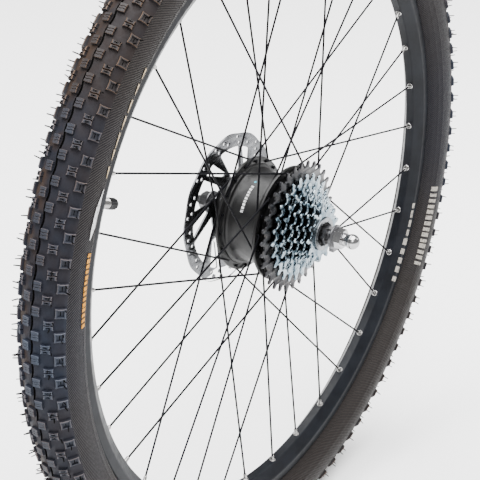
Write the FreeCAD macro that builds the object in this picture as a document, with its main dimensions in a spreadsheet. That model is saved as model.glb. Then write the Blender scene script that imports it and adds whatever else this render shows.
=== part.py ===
import FreeCAD, Part
import math
import os
import re
import Sketcher

# Hub motor wheel. The origin is the wheel's centre, midway between the dropout faces. The wheel
# turns about Y: +Y is the brake side, -Y the sprocket side, +Z up. Angles are counted from +X
# towards +Z. All lengths are in millimetres.

Vec = FreeCAD.Vector
ORIGIN = Vec(0, 0, 0)
SPIN_AXIS = Vec(0, 1, 0)

doc = FreeCAD.newDocument("hub_motor_wheel")
sheet = doc.addObject("Spreadsheet::Sheet", "Sheet")

DRIVING = {
    # axle and its nuts
    "axle_rad": 6.0, "axle_shoulder_rad": 7.5, "axle_flat": 5.0, "axle_left": 88.0,
    "axle_right": 95.0, "cable_bore_rad": 3.0, "cable_bore_depth": 62.0,
    "dropout_y": 67.5, "dropout_gap": 6.0, "washer_thick": 2.0, "washer_rad": 12.5,
    "nut_flats": 18.0, "nut_high": 9.5, "locknut_high": 5.5, "dome_rad": 7.7,
    "thread_gap": 0.05,
    # hub shell and cover
    "barrel_rad": 48.0, "shell_wall": 3.7, "lip_rad": 52.3, "flange_rad": 59.5,
    "left_flange_in": 26.0, "left_flange_out": 29.0, "right_flange_in": 14.5,
    "right_flange_out": 18.0, "shell_end": 21.5, "shell_floor": 18.5, "core_bore_rad": 13.0,
    "cover_rad": 53.0, "cover_out": 32.5, "boss_rad": 27.5, "disc_face": 52.0,
    "pilot_rad": 19.0, "pilot_high": 1.6,
    "cover_screw_circle": 50.3, "core_screw_circle": 20.0,
    "hole_circle": 55.5, "spoke_hole_rad": 1.3, "spoke_count": 36, "lace_phase": 0.94,
    # bearings
    "left_race_rad": 14.0, "left_race_y": 42.0, "left_race_wide": 8.0,
    "right_race_rad": 9.0, "right_race_y": 57.0, "right_race_wide": 4.0,
    "rotor_race_rad": 9.0, "rotor_race_y": -2.8, "rotor_race_wide": 4.0,
    # motor
    "stator_in": 20.0, "stator_out": 37.5, "stator_low": 5.0, "stator_high": 20.0,
    "slot_count": 18, "rotor_in": 40.0, "rotor_out": 42.2, "rotor_low": -3.0,
    "rotor_high": 22.5, "magnet_count": 20, "magnet_thick": 2.0,
    # planetary gears
    "gear_module": 0.8, "sun_teeth": 24, "planet_teeth": 36, "ring_teeth": 96,
    "gear_low": -13.4, "gear_high": -4.4, "ring_gear_rad": 44.2, "pin_rad": 4.0,
    "backlash": 0.06,
    # freewheel cluster
    "cog_pitch": 12.7, "cog_step": 5.0, "first_cog_y": -30.0, "cog_thick": 1.8,
    "cog_bore_rad": 17.3, "body_rad": 17.2, "spline_root_rad": 16.2, "body_bore_rad": 14.0,
    "core_rad": 11.8, "core_in_rad": 8.2, "body_low": -60.7, "body_high": -26.2,
    # brake disc
    "disc_rad": 80.0, "disc_track": 15.0, "disc_thick": 1.8, "disc_bolt_circle": 22.0,
    # rim
    "bed_rad": 295.5, "bed_half": 4.6, "rim_wide": 12.5, "flange_top": 317.0,
    "wall_corner": 308.0, "seat_rad": 311.0, "nipple_hole_rad": 3.05, "stagger": 0.8,
    "valve_angle": 155.94,
    # spokes and nipples
    "spoke_rad": 1.0, "spoke_head_rad": 1.9, "nipple_rad": 1.95, "nipple_head_rad": 2.75,
    "nipple_long": 10.4,
    # tyre
    "tyre_centre": 341.0, "tyre_rad": 26.8, "tyre_wall": 1.8, "knob_count": 106,
    "knob_high": 3.5, "knob_phase": 143.45, "tube_rad": 23.2, "tube_wall": 1.0,
}


def fill_sheet():
    """Write each driving dimension into the sheet under its own alias."""
    for row, (name, value) in enumerate(DRIVING.items(), start=1):
        sheet.set("A%d" % row, name)
        sheet.set("B%d" % row, repr(value))
        sheet.setAlias("B%d" % row, name)
    doc.recompute()


fill_sheet()


def val(formula):
    """Value of a formula of sheet aliases."""
    return float(sheet.evalExpression(str(formula)))


def bound(formula):
    """The same formula as an expression for a property outside the sheet."""
    names = sorted(DRIVING, key=len, reverse=True)
    pattern = r"\b(%s)\b" % "|".join(names)
    return re.sub(pattern, r"Sheet.\1", str(formula))


def origin_plane(body, role):
    """One of a body's own origin planes, by its role."""
    for feature in body.Origin.OriginFeatures:
        if feature.Role == role:
            return feature
    raise RuntimeError("no plane " + role)


def new_sketch(body, name, role="XY_Plane"):
    """An empty sketch on an origin plane of the body."""
    sketch = body.newObject("Sketcher::SketchObject", name)
    sketch.AttachmentSupport = (origin_plane(body, role), "")
    sketch.MapMode = "FlatFace"
    return sketch


def draw_loop(sketch, points):
    """Add a closed loop of straight edges whose corners are formulas (radius, axial)."""
    spots = [Vec(val(a), val(b), 0) for a, b in points]
    first = sketch.GeometryCount
    count = len(spots)
    for i in range(count):
        sketch.addGeometry(Part.LineSegment(spots[i], spots[(i + 1) % count]), False)
    for i in range(count):
        here = first + i
        after = first + (i + 1) % count
        sketch.addConstraint(Sketcher.Constraint("Coincident", here, 2, after, 1))
    for i, formulas in enumerate(points):
        for kind, place, formula in zip(("DistanceX", "DistanceY"), spots[i], formulas):
            rule = Sketcher.Constraint(kind, -1, 1, first + i, 1, place)
            index = sketch.addConstraint(rule)
            sketch.setExpression("Constraints[%d]" % index, bound(formula))


def lathe(label, *loops):
    """A body turned about Y from loops of (radius, axial) formulas."""
    body = doc.addObject("PartDesign::Body", label)
    body.Label = label
    sketch = new_sketch(body, label + "_profile")
    for points in loops:
        draw_loop(sketch, points)
    turned = body.newObject("PartDesign::Revolution", label + "_turned")
    turned.Profile = sketch
    turned.ReferenceAxis = (sketch, ["V_Axis"])
    turned.Angle = 360
    body.Tip = turned
    doc.recompute()
    return body


def tube(label, inner, outer, low, high):
    """A plain ring between two radii and two axial places."""
    return lathe(label, [(inner, low), (outer, low), (outer, high), (inner, high)])


def drill(body, radius, circle, count, side, depth, phase="0", mark="bore"):
    """A ring of axial holes cut from the middle plane towards side (+1 or -1 along Y)."""
    name = "%s_%s" % (body.Name, mark)
    base = body.Tip
    sketch = new_sketch(body, name + "_hole", "XZ_Plane")
    angle = math.radians(val(phase))
    place = Vec(val(circle) * math.cos(angle), val(circle) * math.sin(angle), 0)
    sketch.addGeometry(Part.Circle(place, Vec(0, 0, 1), val(radius)), False)
    rules = [("Radius", (0, val(radius)), radius),
             ("DistanceX", (-1, 1, 0, 3, place.x), "(%s)*cos((%s)*1deg)" % (circle, phase)),
             ("DistanceY", (-1, 1, 0, 3, place.y), "(%s)*sin((%s)*1deg)" % (circle, phase))]
    for kind, arguments, formula in rules:
        index = sketch.addConstraint(Sketcher.Constraint(kind, *arguments))
        sketch.setExpression("Constraints[%d]" % index, bound(formula))
    pocket = body.newObject("PartDesign::Pocket", name + "_drilled")
    pocket.Profile = sketch
    pocket.setExpression("Length", bound(depth))
    pocket.Reversed = side < 0
    doc.recompute()
    if pocket.Shape.Volume >= base.Shape.Volume - 1e-6:
        raise RuntimeError("holes of %s cut nothing" % body.Label)
    pattern = body.newObject("PartDesign::PolarPattern", name + "_pattern")
    pattern.Originals = [pocket]
    pattern.Axis = (origin_plane(body, "Y_Axis"), [""])
    pattern.Angle = 360
    pattern.setExpression("Occurrences", bound(count))
    body.Tip = pattern
    doc.recompute()
    return body


def solid_part(label, shape):
    """A document object that holds a shape made with Part's own functions."""
    feature = doc.addObject("Part::Feature", label)
    feature.Label = label
    feature.Shape = shape
    return feature


def polar(radius, y, degrees):
    """Point at a radius and angle in the plane at height y along the axle."""
    angle = math.radians(degrees)
    return Vec(radius * math.cos(angle), y, radius * math.sin(angle))


def turned_copy(shape, degrees):
    """A copy of the shape with its angle raised by so many degrees."""
    twin = shape.copy()
    twin.rotate(ORIGIN, SPIN_AXIS, -degrees)
    return twin


def spread(shape, count, phase=0.0):
    """A list of equal copies round the axle."""
    return [turned_copy(shape, phase + 360.0 * k / count) for k in range(count)]


def bar(radius, low, high, circle=0.0, degrees=0.0):
    """A round bar along Y between two axial places."""
    foot = polar(circle, low, degrees)
    return Part.makeCylinder(radius, high - low, foot, SPIN_AXIS)


def hexagon(flats, low, high):
    """A hexagonal bar along Y, with flats facing up and down."""
    corner = flats / 2 / math.cos(math.pi / 6)
    points = [polar(corner, low, 60 * k) for k in range(7)]
    return Part.Face(Part.makePolygon(points)).extrude(Vec(0, high - low, 0))


def ring_slab(outline, low, high):
    """A slab of constant thickness from a closed wire in the plane y = low."""
    return Part.Face(outline).extrude(Vec(0, high - low, 0))


# ---------------------------------------------------------------- axle and its nuts

def make_axle():
    """Round bar with a thick middle, flats at both ends and a cable bore in the left end."""
    body = lathe("axle_blank", [
        ("0", "-axle_right"), ("axle_rad-1", "-axle_right"), ("axle_rad", "1-axle_right"),
        ("axle_rad", "stator_low-2"), ("axle_shoulder_rad", "stator_low-2"),
        ("axle_shoulder_rad", "left_race_y"), ("axle_rad", "left_race_y"),
        ("axle_rad", "axle_left-1"), ("axle_rad-1", "axle_left"),
        ("cable_bore_rad", "axle_left"), ("cable_bore_rad", "axle_left-cable_bore_depth"),
        ("0", "axle_left-cable_bore_depth-2")])
    shape = body.Shape
    flat, rad, gap = val("axle_flat"), val("axle_rad"), val("dropout_y")
    for low, high in ((gap, val("axle_left") + 1), (-val("axle_right") - 1, -gap)):
        for side in (flat, -flat - rad):
            corner = Vec(side, low, -rad - 1)
            shape = shape.cut(Part.makeBox(rad, high - low, 2 * rad + 2, corner))
    exit_y = val("axle_left-cable_bore_depth+2")
    cable_exit = Part.makeCylinder(val("cable_bore_rad-0.4"), 12, Vec(0, exit_y, 0), Vec(0, 0, 1))
    axle = solid_part("axle", shape.cut(cable_exit))
    doc.removeObject(body.Name)
    return axle


def hex_nut(low, high, bore):
    """Hexagonal nut with both ends chamfered round."""
    flats = val("nut_flats")
    across = flats / math.sqrt(3)
    blank = hexagon(flats, low, high)
    cone = [Vec(0, low, 0), Vec(across - 1.0, low, 0), Vec(across + 0.6, low + 1, 0),
            Vec(across + 0.6, high - 1, 0), Vec(across - 1.0, high, 0), Vec(0, high, 0)]
    turned = Part.Face(Part.makePolygon(cone + cone[:1])).revolve(ORIGIN, SPIN_AXIS, 360)
    return blank.common(turned).cut(bar(bore, low - 1, high + 1))


def make_cap_nut():
    """Domed nut of the sprocket side: a hexagon and a ball-ended cap, bored blind."""
    high = -val("dropout_y+dropout_gap+washer_thick")
    low = high - val("nut_high")
    dome = val("dome_rad")
    centre = low - 9.0
    blank = hexagon(val("nut_flats"), low, high)
    neck = bar(dome - 1.2, centre, low + 0.5)
    ball = Part.makeSphere(dome, Vec(0, centre, 0))
    bore = bar(val("axle_rad+thread_gap"), -val("axle_right") - 0.5, high + 1)
    return solid_part("right_cap_nut", blank.fuse([neck, ball]).removeSplitter().cut(bore))


def torque_washer(side):
    """Tabbed washer with a flat-sided hole; its hook drops into the dropout's slot below."""
    near = val("dropout_y+dropout_gap+0.05")
    far = near + val("washer_thick-0.05")
    low, high = sorted((side * near, side * far))
    plate = bar(val("washer_rad"), low, high)
    tab_low, tab_high = sorted((side * (near - 3.5), side * far))
    tab = Part.makeBox(8, tab_high - tab_low, 6, Vec(-4, tab_low, -val("washer_rad") - 3))
    rad = val("axle_rad+thread_gap")
    flat = val("axle_flat+thread_gap")
    hole = bar(rad, low - 1, high + 1)
    slot = Part.makeBox(2 * flat, high - low + 2, 2 * rad, Vec(-flat, low - 1, -rad))
    return plate.fuse(tab).cut(hole.common(slot))


def make_axle_fittings():
    """Lock nuts, washers, nuts and spacer sleeves at both ends of the axle."""
    face = val("dropout_y")
    thick = val("locknut_high")
    bore = val("axle_rad+thread_gap")
    outside = val("dropout_y+dropout_gap+washer_thick")
    lock_nuts = [hex_nut(face - thick, face, bore), hex_nut(-face, thick - face, bore)]
    washers = [torque_washer(1), torque_washer(-1)]
    return [
        solid_part("lock_nuts", Part.makeCompound(lock_nuts)),
        solid_part("torque_washers", Part.makeCompound(washers)),
        solid_part("left_axle_nut", hex_nut(outside, outside + val("nut_high"), bore)),
        make_cap_nut(),
        tube("left_axle_spacer", "axle_rad+thread_gap", "8.4", "left_race_y+left_race_wide",
             "dropout_y-locknut_high"),
        tube("right_axle_spacer", "axle_rad+thread_gap", "8", "-dropout_y+locknut_high",
             "-right_race_y"),
        lathe("cable_gland", [
            ("2.2", "axle_left-6"), ("cable_bore_rad-0.02", "axle_left-6"),
            ("cable_bore_rad-0.02", "axle_left+0.02"), ("4.6", "axle_left+0.02"),
            ("4.4", "axle_left+2.4"), ("3.4", "axle_left+5"), ("2.2", "axle_left+5")]),
    ]


# ---------------------------------------------------------------- bearings

def bearing(name, inner, outer, low, wide, count):
    """A ball bearing: its two races as sub-parts, and the shapes of its balls."""
    middle = "((%s)+(%s))/2" % (inner, outer)
    step = "((%s)-(%s))*0.28" % (outer, inner)
    top = "(%s)+(%s)" % (low, wide)
    races = [tube(name + "_inner_race", inner, "(%s)+%s" % (inner, step), low, top),
             tube(name + "_outer_race", "(%s)-%s" % (outer, step), outer, low, top)]
    gap = (val(outer) - val(inner)) * 0.22
    place = Vec(val(middle), val(low) + val(wide) / 2, 0)
    return races, spread(Part.makeSphere(gap - 0.02, place), count)


def make_bearings():
    """Left cover bearing, outboard freewheel bearing and rotor bearing."""
    left = bearing("left_bearing", "axle_rad", "left_race_rad", "left_race_y",
                   "left_race_wide", 9)
    right = bearing("right_bearing", "axle_rad", "right_race_rad", "-right_race_y",
                    "right_race_wide", 15)
    rotor = bearing("rotor_bearing", "axle_rad", "rotor_race_rad", "rotor_race_y",
                    "rotor_race_wide", 15)
    balls = solid_part("bearing_balls", Part.makeCompound(left[1] + right[1] + rotor[1]))
    return left[0] + right[0] + rotor[0] + [balls]


# ---------------------------------------------------------------- motor

def make_stator_core():
    """Laminated ring with T-shaped teeth round the outside."""
    low, high = val("stator_low"), val("stator_high")
    inner, outer = val("stator_in"), val("stator_out")
    count = int(val("slot_count"))
    ring = bar(25.5, low, high).cut(bar(inner, low, high))
    neck = Part.makeBox(outer - 25, high - low, 3.4, Vec(25, low, -1.7))
    shoe_band = bar(outer, low, high).cut(bar(outer - 2.2, low, high))
    half = 360.0 / count * 0.40
    shoe_wire = Part.makePolygon([polar(0, low, 0), polar(60, low, -half), polar(60, low, half),
                                  polar(0, low, 0)])
    shoe = shoe_band.common(Part.Face(shoe_wire).extrude(Vec(0, high - low, 0)))
    limit = bar(outer, low, high)
    tooth = neck.common(limit).fuse(shoe)
    core = ring.fuse(spread(tooth, count)).removeSplitter()
    return solid_part("stator_core", core)


def make_windings():
    """One copper coil round the neck of every stator tooth."""
    low, high = val("stator_low"), val("stator_high")
    over = 3.0
    outer = Part.makeBox(8.6, high - low + 2 * over, 6.6, Vec(26.2, low - over, -3.3))
    edges = [e for e in outer.Edges if abs(e.tangentAt(0).x) > 0.9]
    outer = outer.makeFillet(1.9, edges)
    inner = Part.makeBox(9, high - low + 0.2, 3.6, Vec(26, low - 0.1, -1.8))
    coil = outer.cut(inner)
    return solid_part("stator_windings", Part.makeCompound(spread(coil, int(val("slot_count")))))


def make_motor():
    """Stator, rotor and sensor board."""
    hub = tube("stator_hub", "axle_shoulder_rad+thread_gap", "stator_in-0.02", "stator_low",
               "stator_high")
    drill(hub, "3.2", "14", "6", 1, "stator_high+1")
    board = tube("hall_sensor_board", "axle_shoulder_rad+0.3", "31", "23.8", "25.3")
    drill(board, "1.1", "26", "3", 1, "26")
    bell = lathe("rotor_bell", [
        ("rotor_race_rad", "rotor_low"), ("rotor_out", "rotor_low"),
        ("rotor_out", "rotor_high"), ("rotor_in", "rotor_high"), ("rotor_in", "rotor_low+2.5"),
        ("12.5", "rotor_low+2.5"), ("12.5", "rotor_low+4.4"), ("rotor_race_rad", "rotor_low+4.4")])
    drill(bell, "5", "26", "6", -1, "-rotor_low+1")
    count = int(val("magnet_count"))
    half = 360.0 / count * 0.46
    low, high = val("stator_low-0.8"), val("stator_high+0.8")
    outer, inner = val("rotor_in-0.02"), val("rotor_in-magnet_thick")
    band = bar(outer, low, high).cut(bar(inner, low, high))
    wedge = Part.makePolygon([polar(0, low, 0), polar(60, low, -half), polar(60, low, half),
                              polar(0, low, 0)])
    magnet = band.common(Part.Face(wedge).extrude(Vec(0, high - low, 0)))
    magnets = solid_part("rotor_magnets", Part.makeCompound(spread(magnet, count)))
    return [hub, make_stator_core(), make_windings(), board, bell, magnets]


# ---------------------------------------------------------------- planetary gears

def involute_angle(base, radius):
    """Roll-off angle of the involute of a base circle, at a radius."""
    if radius <= base:
        return 0.0
    tangent = math.sqrt(radius * radius / base / base - 1)
    return tangent - math.atan(tangent)


def gear_wire(teeth, root, tip, slack, y):
    """Outline of an involute gear with 20 degree pressure angle; a tooth is centred on +X."""
    pitch_rad = val("gear_module") * teeth / 2
    base = pitch_rad * math.cos(math.radians(20))
    half = math.pi / 2 / teeth - slack / pitch_rad + involute_angle(base, pitch_rad)
    low = max(root, base)
    radii = [low, (low + tip) / 2, tip]
    edges = []
    step = 2 * math.pi / teeth

    def spot(radius, angle):
        return Vec(radius * math.cos(angle), y, radius * math.sin(angle))

    for k in range(teeth):
        mid = k * step
        right = [spot(r, mid - half + involute_angle(base, r)) for r in radii]
        left = [spot(r, mid + half - involute_angle(base, r)) for r in radii]
        foot_right = spot(root, mid - half)
        foot_left = spot(root, mid + half)
        next_foot = spot(root, mid + step - half)
        if (right[0] - foot_right).Length > 1e-6:
            edges.append(Part.LineSegment(foot_right, right[0]).toShape())
        edges.append(Part.Arc(*right).toShape())
        edges.append(Part.Arc(right[2], spot(tip, mid), left[2]).toShape())
        edges.append(Part.Arc(left[2], left[1], left[0]).toShape())
        if (left[0] - foot_left).Length > 1e-6:
            edges.append(Part.LineSegment(left[0], foot_left).toShape())
        edges.append(Part.Arc(foot_left, spot(root, mid + step / 2), next_foot).toShape())
    return Part.Wire(edges)


def outer_gear(label, teeth, bore, low, high, slack):
    """Spur gear with outside teeth and a plain bore, centred on the axle."""
    module = val("gear_module")
    middle = module * teeth / 2
    wire = gear_wire(teeth, middle - 1.25 * module, middle + 0.95 * module, slack, low)
    return ring_slab(wire, low, high).cut(bar(bore, low - 1, high + 1))


def make_gears():
    """Sun gear, three planets, ring gear, carrier, pins and one-way clutch."""
    module = val("gear_module")
    slack = val("backlash") / 2
    sun_teeth, planet_teeth = int(val("sun_teeth")), int(val("planet_teeth"))
    ring_teeth = int(val("ring_teeth"))
    low, high = val("gear_low"), val("gear_high")
    centre = module * (sun_teeth + planet_teeth) / 2
    parts = [solid_part("sun_gear", outer_gear("sun", sun_teeth, 6.6, low + 0.2,
                                               val("rotor_low"), slack))]
    planet = outer_gear("planet", planet_teeth, val("pin_rad") + 0.04, low, high, slack)
    half_pitch = 180.0 / planet_teeth
    for k in range(3):
        angle = 90.0 + 120.0 * k
        gear = turned_copy(planet, angle + half_pitch)
        gear.translate(polar(centre, 0, angle))
        parts.append(solid_part("planet_gear_%d" % (k + 1), gear))
    ring_middle = module * ring_teeth / 2
    space = gear_wire(ring_teeth, ring_middle - 0.95 * module, ring_middle + 1.25 * module,
                      -slack, low - 0.5)
    cutter = turned_copy(ring_slab(space, low - 0.5, high + 0.5), 180.0 / ring_teeth)
    ring = bar(val("ring_gear_rad"), low - 0.2, high + 0.4).cut(cutter)
    parts.append(solid_part("ring_gear", ring))
    floor = val("-shell_floor+0.5")
    carrier = tube("planet_carrier", "11.5", "29.5", "-shell_floor+0.5", "gear_low-0.4")
    drill(carrier, "pin_rad+0.02", "24", "3", -1, "shell_floor+1", "90")
    pin = bar(val("pin_rad"), floor, high + 0.3, centre, 90.0)
    parts.append(carrier)
    parts.append(solid_part("planet_pins", Part.makeCompound(spread(pin, 3))))
    parts.append(tube("one_way_clutch", "axle_rad+0.02", "11.48", "-shell_floor+0.5",
                      "gear_low-0.4"))
    return parts


# ---------------------------------------------------------------- hub shell and cover

def make_shell():
    """Hub shell: a barrel with a spoke flange at each end and a floor at the sprocket side."""
    shell = lathe("hub_shell", [
        ("core_bore_rad", "-shell_floor"), ("barrel_rad-shell_wall", "-shell_floor"),
        ("barrel_rad-shell_wall", "left_flange_out"), ("flange_rad", "left_flange_out"),
        ("flange_rad", "left_flange_in"), ("lip_rad+0.4", "left_flange_in"),
        ("lip_rad", "left_flange_in-1.8"), ("barrel_rad+1.6", "left_flange_in-2.6"),
        ("barrel_rad+0.3", "left_flange_in-4.4"), ("barrel_rad", "left_flange_in-7"),
        ("barrel_rad", "-right_flange_in+7"), ("barrel_rad+0.3", "-right_flange_in+4.4"),
        ("barrel_rad+1.6", "-right_flange_in+2.6"), ("lip_rad", "-right_flange_in+1.8"),
        ("lip_rad+0.4", "-right_flange_in"), ("flange_rad", "-right_flange_in"),
        ("flange_rad", "-right_flange_out"), ("barrel_rad", "-right_flange_out"),
        ("barrel_rad-6", "-shell_end"), ("core_bore_rad", "-shell_end")])
    holes = "spoke_count/2"
    drill(shell, "spoke_hole_rad", "hole_circle", holes, 1, "left_flange_out+1", "lace_phase")
    drill(shell, "spoke_hole_rad", "hole_circle", holes, -1, "right_flange_out+1",
          "lace_phase+10", "right")
    drill(shell, "1.7", "core_screw_circle", "6", -1, "shell_end+1", "0", "floor")
    drill(shell, "1.55", "cover_screw_circle", "8", 1, "left_flange_out+1", "10", "tapped")
    cover = lathe("left_cover", [
        ("barrel_rad-shell_wall-0.05", "left_flange_out-2"),
        ("barrel_rad-shell_wall-0.05", "left_flange_out"), ("cover_rad", "left_flange_out"),
        ("cover_rad", "cover_out-1.2"), ("cover_rad-1.2", "cover_out"), ("38", "cover_out"),
        ("36.5", "cover_out+1.5"), ("32.5", "cover_out+4"), ("boss_rad+1", "40"),
        ("boss_rad", "42"), ("boss_rad", "disc_face"), ("pilot_rad", "disc_face"),
        ("pilot_rad", "disc_face+pilot_high"), ("left_race_rad+0.02", "disc_face+pilot_high"),
        ("left_race_rad+0.02", "left_race_y-0.02"), ("12.2", "left_race_y-0.02"),
        ("12.2", "39.5"), ("24.5", "39.5"), ("29", "cover_out+1.5"), ("33", "cover_out-2"),
        ("40.5", "cover_out-2.6"), ("40.5", "left_flange_out-2")])
    drill(cover, "1.6", "cover_screw_circle", "8", 1, "cover_out+1", "10")
    drill(cover, "2.55", "disc_bolt_circle", "6", 1, "disc_face+1", "0", "bolt")
    return [shell, cover]


def socket_screw(head_rad, head_high, shank_rad, length, key_flats):
    """A screw pointing to -Y whose head's underside lies at y = 0."""
    head = bar(head_rad, 0, head_high)
    rim_edges = [e for e in head.Edges if e.CenterOfMass.y > head_high - 1e-6]
    head = head.makeFillet(head_high * 0.3, rim_edges[:1])
    shank = bar(shank_rad, -length, 0.01)
    key = hexagon(key_flats, head_high * 0.35, head_high + 1)
    return head.fuse(shank).removeSplitter().cut(key)


def make_screws():
    """Cover screws and brake disc bolts, each kind as one group of separate solids."""
    screw = socket_screw(2.4, 1.6, 1.5, 6.0, 2.0)
    screw.translate(polar(val("cover_screw_circle"), val("cover_out+0.02"), 0))
    cover_screws = Part.makeCompound(spread(screw, 8, 10.0))
    bolt = socket_screw(4.6, 2.6, 2.5, 10.0, 3.4)
    bolt.translate(polar(val("disc_bolt_circle"), val("disc_face+disc_thick+0.04"), 0))
    disc_bolts = Part.makeCompound(spread(bolt, 6))
    seal = tube("left_shaft_seal", "8.5", "left_race_rad-0.02", "left_race_y+left_race_wide+0.3",
                "disc_face+pilot_high-0.4")
    return [solid_part("cover_screws", cover_screws), solid_part("disc_bolts", disc_bolts), seal]


# ---------------------------------------------------------------- brake disc

def swept_window(inner, outer, start, lean, wide_in, wide_out, low, high):
    """A four-sided slanted window between two radii, with rounded corners."""
    corners = [(inner, start - wide_in / 2), (inner, start + wide_in / 2),
               (outer, start + lean + wide_out / 2), (outer, start + lean - wide_out / 2)]
    points = [polar(r, low, a) for r, a in corners]
    mid_out = polar(outer, low, start + lean)
    mid_in = polar(inner, low, start)
    edges = [Part.Arc(points[0], mid_in, points[1]).toShape(),
             Part.LineSegment(points[1], points[2]).toShape(),
             Part.Arc(points[2], mid_out, points[3]).toShape(),
             Part.LineSegment(points[3], points[0]).toShape()]
    block = Part.Face(Part.Wire(edges)).extrude(Vec(0, high - low, 0))
    upright = [e for e in block.Edges if abs(e.tangentAt(e.FirstParameter).y) > 0.9]
    return block.makeFillet(2.2, upright)


def make_disc():
    """Brake disc: scalloped track with paired holes, slanted arms and a six-bolt centre."""
    low = val("disc_face+0.02")
    high = low + val("disc_thick-0.02")
    rad, track = val("disc_rad"), val("disc_track")
    waves = 12
    depth = 1.6
    samples = 12 * waves
    points = []
    for k in range(samples):
        angle = 360.0 * k / samples
        points.append(polar(rad - depth * (0.5 - 0.5 * math.cos(math.radians(waves * angle))),
                            low, angle))
    curve = Part.BSplineCurve()
    curve.interpolate(points, True)
    plate = ring_slab(Part.Wire([curve.toShape()]), low, high)
    plate = plate.cut(bar(val("pilot_rad+0.05"), low - 1, high + 1))
    cuts = []
    for k in range(6):
        base = 60.0 * k
        cuts.append(swept_window(31.5, rad - track, base + 9, 20, 26, 30, low - 1, high + 1))
        cuts.append(swept_window(40.0, rad - track, base + 42, 21, 9, 13, low - 1, high + 1))
    for k in range(24):
        base = 15.0 * k
        places = ((69.0, 0.0), (75.2, 3.4)) if k % 2 else ((70.0, 1.5), (73.8, 7.2))
        cuts += [bar(1.9, low - 1, high + 1, r, base + a) for r, a in places]
    cuts += [bar(2.6, low - 1, high + 1, val("disc_bolt_circle"), 60 * k) for k in range(6)]
    return solid_part("brake_disc", plate.cut(Part.makeCompound(cuts)))


# ---------------------------------------------------------------- freewheel and sprockets

def cog_outline(teeth, y, phase):
    """Closed outline of a roller-chain sprocket: round seats and narrow hooked teeth."""
    pitch_rad = val("cog_pitch") / 2 / math.sin(math.pi / teeth)
    seat = 4.05
    step = 360.0 / teeth
    tip = pitch_rad + 3.3
    half_tip = math.degrees(0.75 / tip)
    edges = []
    previous = None
    first = None
    for k in range(teeth):
        mid = phase + k * step
        centre = polar(pitch_rad, y, mid)
        angle = math.radians(mid)
        radial = Vec(math.cos(angle), 0, math.sin(angle))
        across = Vec(-math.sin(angle), 0, math.cos(angle))
        start = centre - across * seat * 0.98 + radial * seat * 0.2
        end = centre + across * seat * 0.98 + radial * seat * 0.2
        lowest = centre - radial * seat
        tip_end = polar(tip, y, mid + step / 2 - half_tip)
        tip_next = polar(tip, y, mid + step / 2 + half_tip)
        if previous is not None:
            edges.append(Part.LineSegment(previous, start).toShape())
        else:
            first = start
        edges.append(Part.Arc(start, lowest, end).toShape())
        edges.append(Part.LineSegment(end, tip_end).toShape())
        edges.append(Part.LineSegment(tip_end, tip_next).toShape())
        previous = tip_next
    edges.append(Part.LineSegment(previous, first).toShape())
    return Part.Wire(edges)


def spline_keys(low, high, slack):
    """Nine keys that fill the body's grooves, from the bore inwards."""
    root = val("spline_root_rad") + slack
    outer = val("cog_bore_rad") + 0.5
    half = 1.6 - slack
    key = Part.makeBox(outer - root, high - low, 2 * half, Vec(root, low, -half))
    return spread(key, 9)


def make_cog(index, teeth):
    """One sprocket with its splined bore and, on the larger ones, lightening windows."""
    middle = val("first_cog_y") - index * val("cog_step")
    half = val("cog_thick") / 2
    low, high = middle - half, middle + half
    plate = ring_slab(cog_outline(teeth, low, 4.0 * index), low, high)
    plate = plate.cut(bar(val("cog_bore_rad"), low - 1, high + 1))
    root = val("cog_pitch") / 2 / math.sin(math.pi / teeth) - 4.05
    if root > 38:
        middle_rad = (root + 24.5) / 2
        size = min(4.8, (root - 30) / 2 - 1)
        holes = spread(bar(size, low - 1, high + 1, middle_rad, 0), 8, 12.0 + 9 * index)
        plate = plate.cut(Part.makeCompound(holes))
    plate = plate.fuse(spline_keys(low, high, 0.08)).removeSplitter()
    return solid_part("sprocket_%dt" % teeth, plate)


def make_freehub_core():
    """Fixed tube of the freewheel: a flange on the shell's floor and a bearing seat outboard."""
    core = lathe("freehub_core", [
        ("right_race_rad+0.02", "-right_race_y-1"), ("core_rad", "-right_race_y-1"),
        ("core_rad", "body_high+1.8"), ("24", "body_high+1.8"), ("24", "-shell_end"),
        ("core_bore_rad-0.03", "-shell_end"), ("core_bore_rad-0.03", "-shell_floor"),
        ("core_in_rad", "-shell_floor"), ("core_in_rad", "-right_race_y+right_race_wide+0.02"),
        ("right_race_rad+0.02", "-right_race_y+right_race_wide+0.02")])
    drill(core, "1.7", "core_screw_circle", "6", -1, "shell_end+4")
    screw = socket_screw(2.7, 1.3, 1.6, 5.6, 2.0)
    screw.rotate(ORIGIN, Vec(1, 0, 0), 180)
    screw.translate(polar(val("core_screw_circle"), val("body_high+1.78"), 0))
    return [core, solid_part("core_screws", Part.makeCompound(spread(screw, 6)))]


def make_freehub_body():
    """Splined sleeve that carries the sprockets, with ratchet teeth inside its inner end."""
    low, high = val("body_low"), val("body_high")
    shoulder = val("first_cog_y+cog_thick/2+0.02")
    sleeve = bar(val("body_rad"), low, high).fuse(bar(20.5, shoulder, high)).removeSplitter()
    root = val("spline_root_rad")
    groove = Part.makeBox(3, shoulder - low, 3.2, Vec(root, low, -1.6))
    bore = bar(val("body_bore_rad"), low - 1, high + 1)
    sleeve = sleeve.cut(Part.makeCompound(spread(groove, 9))).cut(bore)
    wall = val("body_bore_rad") + 0.2
    tip = val("body_bore_rad") - 0.6
    tooth_wire = Part.makePolygon([polar(wall, -33, 0), polar(wall, -33, 12),
                                   polar(tip, -33, 3), polar(wall, -33, 0)])
    tooth = Part.Face(tooth_wire).extrude(Vec(0, 5, 0))
    return solid_part("freehub_body", sleeve.fuse(spread(tooth, 18)).removeSplitter())


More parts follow.
